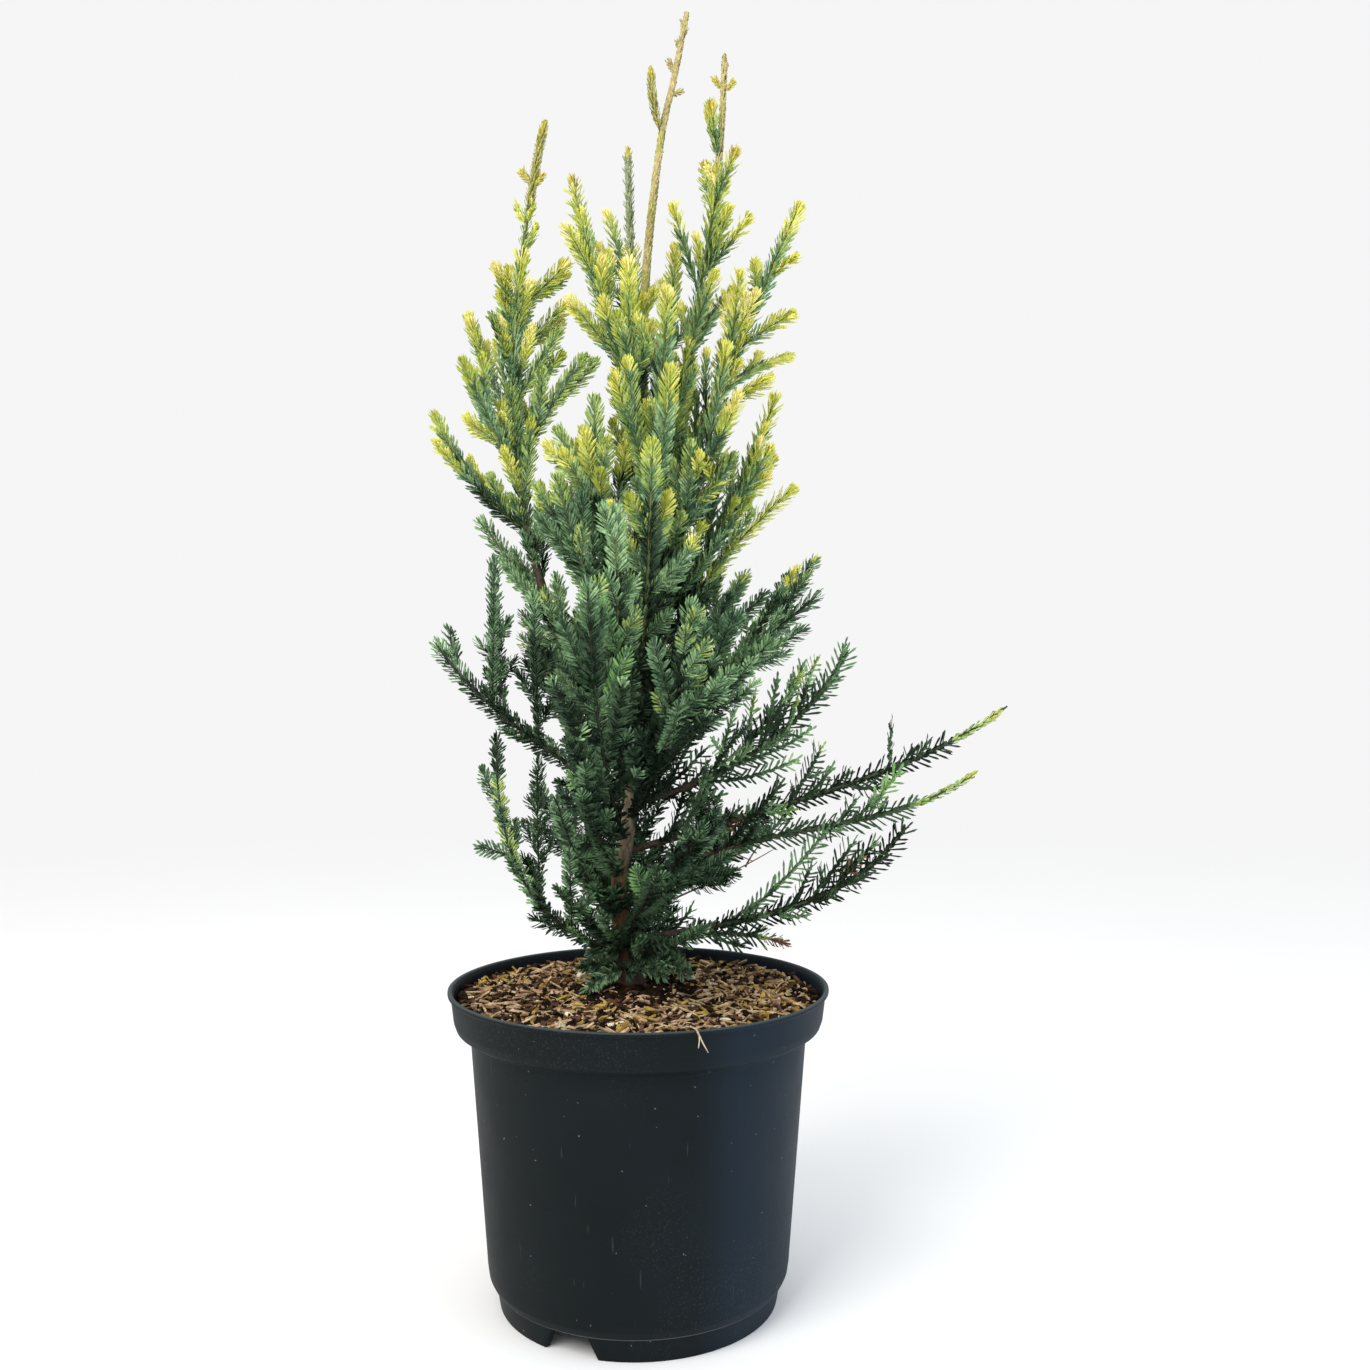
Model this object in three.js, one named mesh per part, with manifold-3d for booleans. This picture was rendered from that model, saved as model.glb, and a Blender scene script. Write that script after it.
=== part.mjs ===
// A potted adpressa coast redwood: a young three-leadered tree in a round nursery pot.
// Sizes are millimetres and angles degrees. +Z is up, and the origin is the middle of the pot's underside.
// -Y is the front, and the tree's three long low boughs reach out along +X.
import * as THREE from "three";
import { mergeVertices } from "three/addons/utils/BufferGeometryUtils.js";
import Module from "manifold-3d";

const wasm = await Module();
wasm.setup();

// Pot
const POT_HEIGHT = 180;
const RIM_RADIUS = 110;
const LIP_DEPTH = 2.4;
const LIP_WIDTH = 2.2;
const COLLAR_HEIGHT = 26;
const COLLAR_RISE = 9;
const COLLAR_RADIUS = 108.2;
const COLLAR_TAPER = 1.7;
const BODY_TOP_RADIUS = 97;
const BODY_LOW_RADIUS = 87;
const BODY_ROUNDING = 11;
const WALL = 1.8;
const FOOT_HEIGHT = 12.5;
const FOOT_RADIUS = 80;
const FOOT_FLARE = 2.2;
const FOOT_WIDTH = 3.5;
const BASE_THICKNESS = 2.5;
const PAD_RADIUS = 24;
const NOTCH_BEARINGS = [-25, 95, 215];
const NOTCH_TOP_ANGLE = 7.7;
const NOTCH_FOOT_ANGLE = 11.5;
const NOTCH_RELIEF = 0.5;
const WALL_STEPS = 9;

// Potting mix, with its mound round the trunk
const MIX_EDGE = 170.5;
const MIX_MOUND = 5.5;
const MIX_FLAT_RADIUS = 14;
const MIX_RIPPLE = 0.9;
const MIX_SIDES = 24;
const CLEARANCE = 0.35;
const FACET_ROOM = 0.35;

// Trunk: its line from the mix to the leader's tip, and its girth
const TRUNK_FOOT = MIX_EDGE + MIX_MOUND + CLEARANCE;
const TREE_TOP = 749;
const TRUNK_LINE = [
  [-5, 12, TRUNK_FOOT],
  [-12, 9, 228],
  [-4, 4, 290],
  [0, 1, 400],
  [2, 0, 500],
  [3.5, 0, 585],
  [8.5, 1, 640],
  [14, 3, 681],
  [20.5, 4, 710],
  [28, 4, TREE_TOP],
];
const TRUNK_TIP_RADIUS = 1.3;
const TRUNK_SWELL = 4.3;
const TRUNK_TAPER = 1.1;
const FLARE = 3.4;
const FLARE_HEIGHT = 11;
const TRUNK_SIDES = 7;
const TRUNK_RINGS = 30;
const TRUNK_STEPS = 96;
const RING_CROWDING = 1.12;

// Boughs
const BOUGH_SIDES = 5;
const BOUGH_RINGS = 5;
const LIMB_TAPER = 0.55;
const LIMB_ELBOW = 0.5;
const FORK_ELBOW = 0.45;

// Foliage: the needle sprays, and the rule that sets twigs on a limb
const SPRAY_CORE = 1.6;
const SPRAY_REACH = 8.6;
const SPRAY_RIDGE = 0.55;
const SPRAY_ROLL = 70;
const BARB_STEP = 20;
const BARB_TAPER = 0.35;
const FORK_CORE = 1.4;
const TWIG_CORE = 1.2;
const NAKED_START = 16;
const FORK_NAKED = 9;
const TWIG_NAKED = 8;
const TWIG_SPACING = 12;
const TWIG_LEAN = 42;
const TWIG_LEAN_SPREAD = 16;
const TWIG_ROLL_SPREAD = 90;
const TWIG_RISE = 0.55;
const TWIG_TIP_ROOM = 14;
const SHORTEST_TWIG = 22;
const CROWDED_SHARES = [1, 0.72, 0.5, 0.34];
const LONGER_NAKED = [0, 7, 14];
const LONGEST_NAKED_SHARE = 0.5;

// Gaps between neighbours
const GAP = 0.3;
const TRUNK_GAP = 0.4;
const LEAST_GAP = 0.2;
const SEARCH = 1;
const PATH_STEPS = 16;

// Each limb leaves the trunk at a height, and a fork leaves its limb at a share of the limb's length. Both
// end at a tip. They set out at their lift above level and bend after their elbow, a share of the span.
// Where a limb has a bare share, its first stretch is a bough without needles. Twig is the longest side
// shoot's length.
const LIMBS = [
  {
    name: "left_leader", height: 310, tip: [-55, 5, 687],
    lift: 50, elbow: 0.44, bare: 0.32, girth: 3.1, twig: 25,
    forks: [
      { at: 0.38, tip: [-117, -12, 509], lift: 28, twig: 18 },
      { at: 0.46, tip: [-98, -28, 537], lift: 50, twig: 20 },
      { at: 0.5, tip: [-74, 48, 528], lift: 50, twig: 20 },
      { at: 0.48, tip: [-28, -36, 536], lift: 50, twig: 20 },
      { at: 0.59, tip: [-81, -32, 560], lift: 62, twig: 18 },
      { at: 0.54, tip: [-104, 26, 577], lift: 52, twig: 16 },
      { at: 0.57, tip: [-45, -14, 557], lift: 45, twig: 14 },
      { at: 0.65, tip: [-66, 38, 600], lift: 58, twig: 14 },
      { at: 0.69, tip: [-80, -24, 591], lift: 50, twig: 14 },
      { at: 0.64, tip: [-42, 14, 582], lift: 45, twig: 12 },
      { at: 0.71, tip: [-43, 16, 606], lift: 40, twig: 12 },
    ],
  },
  { name: "left_side", height: 338, tip: [-97, 28, 454], lift: 44, bare: 0.36, girth: 2.2, twig: 24 },
  {
    name: "left_low", height: 285, tip: [-123, -5, 388],
    lift: 30, elbow: 0.7, bare: 0.26, girth: 2.4, twig: 22,
    forks: [
      { at: 0.4, tip: [-58, -30, 407], lift: 62, twig: 20 },
      { at: 0.56, tip: [-88, 30, 404], lift: 55, twig: 20 },
      { at: 0.62, tip: [-81, -22, 427], lift: 80, twig: 16 },
      { at: 0.8, tip: [-115, 20, 390], lift: 50, twig: 12 },
    ],
  },
  {
    name: "left_base", height: 200, tip: [-82, -5, 327],
    lift: 17, elbow: 0.56, girth: 2, twig: 26,
    forks: [
      { at: 0.2, tip: [-38, -26, 262], lift: 40, twig: 22 },
      { at: 0.35, tip: [-60, 12, 313], lift: 55, twig: 20 },
      { at: 0.55, tip: [-95, -8, 261], lift: 25, twig: 10 },
      { at: 0.72, tip: [-93, 5, 307], lift: 50, twig: 10 },
    ],
  },
  { name: "left_inner", height: 215, tip: [-46, -28, 293], lift: 38, girth: 1.8, twig: 24 },
  { name: "left_front", height: 240, tip: [-33, -64, 336], lift: 32, girth: 1.9, twig: 26 },
  {
    name: "left_middle", height: 364, tip: [-44, -40, 470],
    lift: 46, girth: 1.9, twig: 26,
    forks: [{ at: 0.45, tip: [-58, -16, 468], lift: 62, twig: 18 }],
  },
  {
    name: "left_high", height: 397, tip: [-24, -26, 516],
    lift: 50, elbow: 0.48, girth: 1.9, twig: 26,
    forks: [{ at: 0.4, tip: [-46, -18, 500], lift: 60, twig: 20 }],
  },
  {
    name: "middle_leader", height: 510, tip: [-39, -5, 649],
    lift: 64, elbow: 0.35, girth: 2.2, twig: 22,
    forks: [
      { at: 0.24, tip: [-40, -14, 575], lift: 48, twig: 14 },
      { at: 0.55, tip: [-42, -13, 617], lift: 66, twig: 10 },
    ],
  },
  {
    name: "middle_top", height: 540, tip: [-7, 12, 673],
    lift: 74, elbow: 0.4, girth: 1.7, twig: 14,
    forks: [{ at: 0.2, tip: [-20, 26, 639], lift: 70, twig: 14 }],
  },
  { name: "middle_front", height: 488, tip: [-5, -30, 592], lift: 40, elbow: 0.32, girth: 1.7, twig: 22 },
  { name: "middle_gold", height: 466, tip: [17, -31, 576], lift: 45, elbow: 0.35, girth: 1.7, twig: 22 },
  { name: "middle_back", height: 500, tip: [21, 34, 622], lift: 48, elbow: 0.35, girth: 1.7, twig: 22 },
  {
    name: "front_gold", height: 426, tip: [19, -50, 528],
    lift: 42, elbow: 0.42, girth: 1.8, twig: 24,
    forks: [{ at: 0.3, tip: [-5, -40, 534], lift: 66, twig: 20 }],
  },
  {
    name: "right_leader", height: 456, tip: [50, 3, 725],
    lift: 70, bare: 0.26, girth: 2.8, twig: 22,
    forks: [
      { at: 0.33, tip: [56, 28, 594], lift: 60, twig: 18 },
      { at: 0.3, tip: [44, -34, 584], lift: 60, twig: 18 },
      { at: 0.48, tip: [20, -14, 629], lift: 55, twig: 14 },
      { at: 0.52, tip: [64, -14, 622], lift: 40, twig: 12 },
      { at: 0.55, tip: [52, 30, 642], lift: 60, twig: 12 },
      { at: 0.64, tip: [39, 18, 665], lift: 60, twig: 8 },
      { at: 0.66, tip: [56, -14, 660], lift: 60, twig: 8 },
      { at: 0.76, tip: [42, -4, 692], lift: 70, twig: 6 },
    ],
  },
  {
    name: "right_upper", height: 406, tip: [95, 11, 638],
    lift: 69, elbow: 0.6, bare: 0.3, girth: 2.5, twig: 22,
    forks: [
      { at: 0.44, tip: [73, -22, 527], lift: 35, twig: 18 },
      { at: 0.5, tip: [92, 40, 556], lift: 46, twig: 18 },
      { at: 0.56, tip: [58, -16, 590], lift: 62, twig: 16 },
      { at: 0.62, tip: [89, -14, 567], lift: 30, twig: 12 },
      { at: 0.74, tip: [69, 34, 612], lift: 50, twig: 12 },
      { at: 0.8, tip: [91, -10, 600], lift: 30, twig: 8 },
    ],
  },
  { name: "right_front", height: 400, tip: [50, -38, 543], lift: 48, elbow: 0.45, girth: 1.9, twig: 26 },
  {
    name: "right_outer", height: 375, tip: [80, 0, 523],
    lift: 50, elbow: 0.48, girth: 2, twig: 24,
    forks: [
      { at: 0.42, tip: [47, -30, 493], lift: 60, twig: 18 },
      { at: 0.46, tip: [72, 36, 500], lift: 50, twig: 18 },
      { at: 0.52, tip: [75, -26, 488], lift: 40, twig: 18 },
    ],
  },
  {
    name: "right_gold", height: 350, tip: [91, 6, 470],
    lift: 64, girth: 2, twig: 26,
    forks: [{ at: 0.55, tip: [65, -26, 452], lift: 45, twig: 18 }],
  },
  {
    name: "right_middle", height: 320, tip: [106, -4, 408],
    lift: 38, bare: 0.26, girth: 2.3, twig: 24,
    forks: [
      { at: 0.6, tip: [90, 28, 423], lift: 55, twig: 18 },
      { at: 0.72, tip: [105, 11, 430], lift: 62, twig: 12 },
      { at: 0.48, tip: [96, -30, 387], lift: 18, twig: 18 },
    ],
  },
  {
    name: "right_lower", height: 284, tip: [124, 6, 377],
    lift: 14, elbow: 0.6, bare: 0.24, girth: 2.2, twig: 28,
    forks: [
      { at: 0.3, tip: [62, -36, 332], lift: 44, twig: 20 },
      { at: 0.4, tip: [82, 16, 344], lift: 50, twig: 18 },
      { at: 0.5, tip: [94, -28, 362], lift: 55, twig: 18 },
      { at: 0.68, tip: [108, 34, 372], lift: 60, twig: 14 },
    ],
  },
  {
    name: "right_long_upper", height: 256, tip: [222, 15, 344],
    lift: 14, elbow: 0.46, bare: 0.28, girth: 2.2, twig: 24,
    forks: [
      { at: 0.66, tip: [148, 6, 333], lift: 84, twig: 8 },
      { at: 0.4, tip: [112, 44, 318], lift: 30, twig: 20 },
    ],
  },
  {
    name: "right_long_middle", height: 236, tip: [196, -10, 305],
    lift: 22, elbow: 0.545, bare: 0.28, girth: 2.1, twig: 26,
    forks: [
      { at: 0.3, tip: [82, -30, 300], lift: 42, twig: 20 },
      { at: 0.68, tip: [150, -18, 306], lift: 58, twig: 12 },
    ],
  },
  {
    name: "right_long_low", height: 204, tip: [158, 5, 273],
    lift: 5, elbow: 0.58, bare: 0.28, girth: 2.1, twig: 30,
    forks: [
      { at: 0.36, tip: [111, -8, 273], lift: 38, twig: 10 },
      { at: 0.6, tip: [130, 22, 262], lift: 45, twig: 20 },
      { at: 0.68, tip: [138, -16, 266], lift: 50, twig: 22 },
    ],
  },
  { name: "right_foot", height: 192, tip: [94, 62, 190], lift: 22, bare: 0.36, girth: 1.8, twig: 20 },
  {
    name: "front_low_right", height: 222, tip: [37, -74, 277],
    lift: 22, girth: 1.8, twig: 28,
    forks: [
      { at: 0.25, tip: [58, -34, 248], lift: 25, twig: 22 },
      { at: 0.4, tip: [46, -46, 288], lift: 40, twig: 20 },
    ],
  },
  { name: "front_low", height: 206, tip: [12, -86, 256], lift: 18, girth: 1.8, twig: 28 },
  { name: "front_base", height: 192, tip: [30, -72, 200], lift: 24, girth: 1.7, twig: 22 },
  { name: "front_middle_left", height: 298, tip: [-10, -66, 449], lift: 38, girth: 1.9, twig: 28 },
  { name: "front_middle", height: 262, tip: [-24, -80, 410], lift: 34, elbow: 0.52, girth: 2, twig: 30 },
  {
    name: "front_middle_right", height: 274, tip: [30, -76, 400],
    lift: 34, elbow: 0.52, girth: 2, twig: 28,
    forks: [{ at: 0.45, tip: [54, -72, 364], lift: 40, twig: 20 }],
  },
  { name: "front_centre", height: 350, tip: [9, -58, 486], lift: 38, elbow: 0.45, girth: 1.8, twig: 26 },
  {
    name: "front_right", height: 306, tip: [76, -46, 380],
    lift: 34, girth: 1.9, twig: 26,
    forks: [{ at: 0.4, tip: [54, -58, 396], lift: 50, twig: 20 }],
  },
  {
    name: "back_low_left", height: 226, tip: [-72, 92, 292],
    lift: 24, bare: 0.3, girth: 2.1, twig: 30,
    forks: [{ at: 0.55, tip: [-34, 96, 300], lift: 45, twig: 20 }],
  },
  {
    name: "back_low_right", height: 214, tip: [84, 104, 266],
    lift: 20, bare: 0.3, girth: 2.1, twig: 30,
    forks: [{ at: 0.55, tip: [40, 108, 276], lift: 40, twig: 20 }],
  },
  {
    name: "back_middle_left", height: 296, tip: [-76, 66, 402],
    lift: 38, girth: 2, twig: 28,
    forks: [{ at: 0.45, tip: [-44, 86, 398], lift: 50, twig: 20 }],
  },
  {
    name: "back_middle", height: 270, tip: [4, 98, 392],
    lift: 36, bare: 0.26, girth: 2.1, twig: 30,
    forks: [{ at: 0.5, tip: [34, 84, 374], lift: 52, twig: 20 }],
  },
  {
    name: "back_middle_right", height: 330, tip: [66, 62, 426],
    lift: 40, girth: 2, twig: 28,
    forks: [{ at: 0.45, tip: [34, 74, 436], lift: 55, twig: 20 }],
  },
  { name: "back_high_left", height: 380, tip: [-42, 56, 506], lift: 46, elbow: 0.48, girth: 1.9, twig: 28 },
  { name: "back_high", height: 350, tip: [10, 68, 482], lift: 44, elbow: 0.48, girth: 1.9, twig: 28 },
  { name: "back_high_right", height: 428, tip: [30, 50, 560], lift: 50, elbow: 0.45, girth: 1.8, twig: 26 },
  { name: "leader_shoot", height: 675, tip: [7, -4, 713], lift: 62, girth: 1, twig: 0 },
];
const GOLD_ABOVE = 560;

const UP = new THREE.Vector3(0, 0, 1);
const radians = THREE.MathUtils.degToRad;

// A repeatable stream of numbers from 0 to 1.
function seeded(seed) {
  let state = seed;
  return () => {
    state = (state * 1664525 + 1013904223) % 4294967296;
    return state / 4294967296;
  };
}

// A line of points, the distance run at each, and the level direction across the upright plane it rises in.
function pathThrough(points) {
  const run = [0];
  for (let i = 1; i < points.length; i += 1) run.push(run[i - 1] + points[i].distanceTo(points[i - 1]));
  const level = points[points.length - 1].clone().sub(points[0]).setZ(0).normalize();
  return { points, run, length: run[run.length - 1], side: UP.clone().cross(level) };
}

// A bend from a to c that sets out towards b.
function bentPath(a, b, c) {
  const points = [];
  for (let i = 0; i <= PATH_STEPS; i += 1) {
    const t = i / PATH_STEPS;
    const point = a.clone().multiplyScalar((1 - t) * (1 - t));
    point.addScaledVector(b, 2 * t * (1 - t)).addScaledVector(c, t * t);
    points.push(point);
  }
  return pathThrough(points);
}

// The point at a distance along a path, its heading, and the way its upper side faces.
function along(path, distance) {
  let i = 1;
  while (i < path.run.length - 1 && path.run[i] < distance) i += 1;
  const a = path.points[i - 1];
  const b = path.points[i];
  const share = (distance - path.run[i - 1]) / (path.run[i] - path.run[i - 1]);
  const heading = b.clone().sub(a).normalize();
  return { point: a.clone().lerp(b, share), heading, upper: heading.clone().cross(path.side) };
}

const trunkMarks = TRUNK_LINE.map((mark) => new THREE.Vector3(...mark));
const trunkCurve = new THREE.CatmullRomCurve3(trunkMarks, false, "centripetal");
const trunkPath = pathThrough(trunkCurve.getPoints(TRUNK_STEPS));

function trunkRadius(z) {
  const share = (z - TRUNK_FOOT) / (TREE_TOP - TRUNK_FOOT);
  const swell = TRUNK_SWELL * Math.max(0, 1 - share) ** TRUNK_TAPER;
  return TRUNK_TIP_RADIUS + swell + FLARE * Math.exp(-(z - TRUNK_FOOT) / FLARE_HEIGHT);
}

// The trunk's middle at a height.
function trunkAt(height) {
  const i = trunkPath.points.findIndex((p) => p.z >= height);
  const a = trunkPath.points[i - 1];
  const b = trunkPath.points[i];
  return a.clone().lerp(b, (height - a.z) / (b.z - a.z));
}

// The path of a limb: it sets out at its lift, on its tip's bearing, and bends to its tip.
function limbPath(from, limb, elbowShare) {
  const tip = new THREE.Vector3(...limb.tip);
  const course = tip.clone().sub(from).setZ(0).normalize();
  course.multiplyScalar(Math.cos(radians(limb.lift))).setZ(Math.sin(radians(limb.lift)));
  const elbow = from.clone().addScaledVector(course, from.distanceTo(tip) * elbowShare);
  return bentPath(from, elbow, tip);
}

// Side twigs along a path, alternating from side to side, longest below its middle and short at both ends.
function twigsOn(path, from, longest, seed) {
  const random = seeded(seed);
  const twigs = [];
  const room = path.length - TWIG_TIP_ROOM - from;
  let side = 1;
  let place = from + TWIG_SPACING * random();
  while (place < from + room) {
    const share = (place - from) / room;
    const fullness = 0.35 + 0.65 * Math.sin(Math.PI * Math.min(1, share * 0.85 + 0.28));
    const length = longest * fullness * (0.8 + 0.5 * random());
    const lean = radians(TWIG_LEAN + TWIG_LEAN_SPREAD * (random() - 0.5));
    const roll = radians(TWIG_ROLL_SPREAD * (random() - 0.5));
    const { point, heading, upper } = along(path, place);
    const sideways = path.side.clone().multiplyScalar(side * Math.cos(roll));
    const out = sideways.addScaledVector(upper, Math.sin(roll));
    const course = heading.multiplyScalar(Math.cos(lean)).addScaledVector(out, Math.sin(lean));
    const rising = course.clone().addScaledVector(UP, TWIG_RISE).normalize();
    const bend = point.clone().addScaledVector(course, length / 2);
    const end = bend.clone().addScaledVector(rising, length / 2);
    twigs.push({ path: bentPath(point, bend, end), length });
    place += TWIG_SPACING * (0.75 + 0.5 * random());
    side = -side;
  }
  return twigs;
}

// A closed skin over rings of equally many corners, with a flat face at each end.
function skin(rings) {
  const width = rings[0].length;
  const index = [];
  for (let r = 0; r + 1 < rings.length; r += 1) {
    for (let i = 0; i < width; i += 1) {
      const a = r * width + i;
      const b = r * width + ((i + 1) % width);
      index.push(a, b, b + width, a, b + width, a + width);
    }
  }
  const last = (rings.length - 1) * width;
  for (let i = 1; i + 1 < width; i += 1) {
    index.push(0, i + 1, i);
    index.push(last, last + i, last + i + 1);
  }
  return meshOf(rings.flat(), index);
}

// Sections of a turned shape round the Z axis, each starting and ending on the axis, as one closed skin.
function revolved(sections) {
  const width = sections[0].length;
  const index = [];
  sections.forEach((_, s) => {
    const here = s * width;
    const next = ((s + 1) % sections.length) * width;
    for (let i = 0; i + 1 < width; i += 1) {
      index.push(here + i, next + i, next + i + 1);
      index.push(here + i, next + i + 1, here + i + 1);
    }
  });
  return meshOf(sections.flat(), index);
}

function meshOf(corners, index) {
  const geometry = new THREE.BufferGeometry();
  const coordinates = corners.flatMap((p) => [p.x, p.y, p.z]);
  geometry.setAttribute("position", new THREE.Float32BufferAttribute(coordinates, 3));
  geometry.setIndex(index);
  return geometry;
}

// A geometry as a solid, with shared corners merged and empty faces dropped.
function solidOf(geometry) {
  const merged = mergeVertices(geometry, 1e-4);
  const triangles = [];
  for (let i = 0; i < merged.index.count; i += 3) {
    const [a, b, c] = [0, 1, 2].map((k) => merged.index.getX(i + k));
    if (a !== b && b !== c && a !== c) triangles.push(a, b, c);
  }
  return new wasm.Manifold(
    new wasm.Mesh({
      numProp: 3,
      vertProperties: new Float32Array(merged.attributes.position.array),
      triVerts: new Uint32Array(triangles),
    }),
  );
}

function geometryOf(solid) {
  const mesh = solid.getMesh();
  const geometry = new THREE.BufferGeometry();
  geometry.setAttribute("position", new THREE.Float32BufferAttribute(mesh.vertProperties, 3));
  geometry.setIndex([...mesh.triVerts]);
  const faceted = geometry.toNonIndexed();
  faceted.computeVertexNormals();
  return faceted;
}

// A ring of corners round a point, evenly spaced in the plane of two directions across.
function roundRing(point, across, over, sides, radius) {
  const ring = [];
  for (let i = 0; i < sides; i += 1) {
    const angle = (2 * Math.PI * i) / sides;
    const corner = point.clone().addScaledVector(across, radius * Math.cos(angle));
    ring.push(corner.addScaledVector(over, radius * Math.sin(angle)));
  }
  return ring;
}

// A round tapering limb along a path, up to a distance.
function taperedTube(path, to, radiusAt) {
  const rings = [];
  for (let i = 0; i <= BOUGH_RINGS; i += 1) {
    const distance = (to * i) / BOUGH_RINGS;
    const { point, upper } = along(path, distance);
    rings.push(roundRing(point, path.side, upper, BOUGH_SIDES, radiusAt(distance)));
  }
  return skin(rings);
}

// A blade of needles along a path. Its slim core is three cornered, and its two edges and its ridge
// carry barbs that lean to the tip. It has no barbs up to naked, and is rolled about its own line.
function sprayBlade(path, from, naked, reach, core, roll) {
  const rings = [];
  const corners = [
    [-1, -0.25],
    [1, -0.25],
    [0, 1],
  ];
  const ring = (distance, wide, high) => {
    const { point, upper } = along(path, distance);
    const across = path.side.clone().multiplyScalar(Math.cos(roll)).addScaledVector(upper, Math.sin(roll));
    const over = upper.multiplyScalar(Math.cos(roll)).addScaledVector(path.side, -Math.sin(roll));
    const lean = ([a, b]) => across.clone().multiplyScalar(a * wide).addScaledVector(over, b * high);
    rings.push(corners.map((corner) => lean(corner).add(point)));
  };
  if (naked > from) ring(from, core, core);
  const barbs = Math.max(1, Math.round((path.length - naked) / BARB_STEP));
  const step = (path.length - naked) / (barbs + 0.4);
  for (let i = 0; i < barbs; i += 1) {
    const start = naked + i * step;
    const slim = core * (1 - (0.5 * i) / barbs);
    const wide = reach * (1 - (BARB_TAPER * i) / barbs);
    ring(start, slim, slim);
    ring(start + step * 0.92, wide, wide * SPRAY_RIDGE);
  }
  ring(path.length, 0.35, 0.35);
  return skin(rings);
}

// How far the foot ring is cut away at a bearing round the pot, by its three notches.
function footRise(bearing) {
  const apart = NOTCH_BEARINGS.map((b) => Math.abs(((bearing - b + 540) % 360) - 180));
  return Math.min(...apart) <= NOTCH_TOP_ANGLE + 0.01 ? FOOT_HEIGHT - NOTCH_RELIEF : 0;
}

// The bearings of the pot's upright sections: the edges of each notch, and even steps from notch to notch.
function potBearings() {
  return NOTCH_BEARINGS.flatMap((notch) => {
    const start = notch + NOTCH_FOOT_ANGLE;
    const stretch = 360 / NOTCH_BEARINGS.length - 2 * NOTCH_FOOT_ANGLE;
    const even = Array.from({ length: WALL_STEPS + 1 }, (_, i) => start + (stretch * i) / WALL_STEPS);
    return [notch - NOTCH_TOP_ANGLE, notch, notch + NOTCH_TOP_ANGLE, ...even];
  });
}

// Radius and height of the points up the inside of the wall.
function insideWall() {
  const collarFoot = POT_HEIGHT - COLLAR_HEIGHT;
  return [
    [BODY_LOW_RADIUS - WALL - 2.4, FOOT_HEIGHT + BASE_THICKNESS],
    [BODY_LOW_RADIUS - WALL, FOOT_HEIGHT + BODY_ROUNDING],
    [BODY_TOP_RADIUS - WALL, collarFoot],
    [COLLAR_RADIUS - COLLAR_TAPER - WALL, collarFoot + COLLAR_RISE],
    [COLLAR_RADIUS - WALL, POT_HEIGHT - LIP_DEPTH],
    [RIM_RADIUS - LIP_WIDTH, POT_HEIGHT],
  ];
}

// Radius and height of the points up the outside of the wall.
function outsideWall() {
  const collarFoot = POT_HEIGHT - COLLAR_HEIGHT;
  return [
    [FOOT_RADIUS + FOOT_FLARE, FOOT_HEIGHT],
    [FOOT_RADIUS + FOOT_FLARE + 1.6, FOOT_HEIGHT + 1],
    [BODY_LOW_RADIUS - 0.8, FOOT_HEIGHT + BODY_ROUNDING / 2],
    [BODY_LOW_RADIUS, FOOT_HEIGHT + BODY_ROUNDING],
    [BODY_TOP_RADIUS, collarFoot],
    [COLLAR_RADIUS - COLLAR_TAPER - 1.6, collarFoot + COLLAR_RISE / 2],
    [COLLAR_RADIUS - COLLAR_TAPER, collarFoot + COLLAR_RISE],
    [COLLAR_RADIUS, POT_HEIGHT - LIP_DEPTH - 0.8],
    [RIM_RADIUS, POT_HEIGHT - LIP_DEPTH],
    [RIM_RADIUS, POT_HEIGHT],
  ];
}

// A section of a turned shape, standing at a bearing from the front.
function turnedSection(bearing, outline) {
  const angle = radians(bearing - 90);
  return outline.map(([r, z]) => new THREE.Vector3(r * Math.cos(angle), r * Math.sin(angle), z));
}

function potGeometry() {
  const sections = potBearings().map((bearing) => {
    const rise = footRise(bearing);
    const outline = [
      [0, 0],
      [PAD_RADIUS, 0],
      [PAD_RADIUS + 2, FOOT_HEIGHT],
      [FOOT_RADIUS - FOOT_WIDTH - 0.5, FOOT_HEIGHT],
      [FOOT_RADIUS - FOOT_WIDTH, rise],
      [FOOT_RADIUS + (FOOT_FLARE * rise) / FOOT_HEIGHT, rise],
      ...outsideWall(),
      ...insideWall().reverse(),
      [0, FOOT_HEIGHT + BASE_THICKNESS],
    ];
    return turnedSection(bearing, outline);
  });
  return revolved(sections);
}

// The mix's surface at a distance from the pot's middle: a low mound with ripples, flat round the trunk.
function mixSurface(radius, angle) {
  if (radius <= MIX_FLAT_RADIUS) return MIX_EDGE + MIX_MOUND;
  const mound = MIX_MOUND * Math.cos((Math.PI / 2) * (radius / COLLAR_RADIUS));
  return MIX_EDGE + mound + MIX_RIPPLE * Math.sin(5 * angle + radius / 13) * Math.sin(radius / 17);
}

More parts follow.
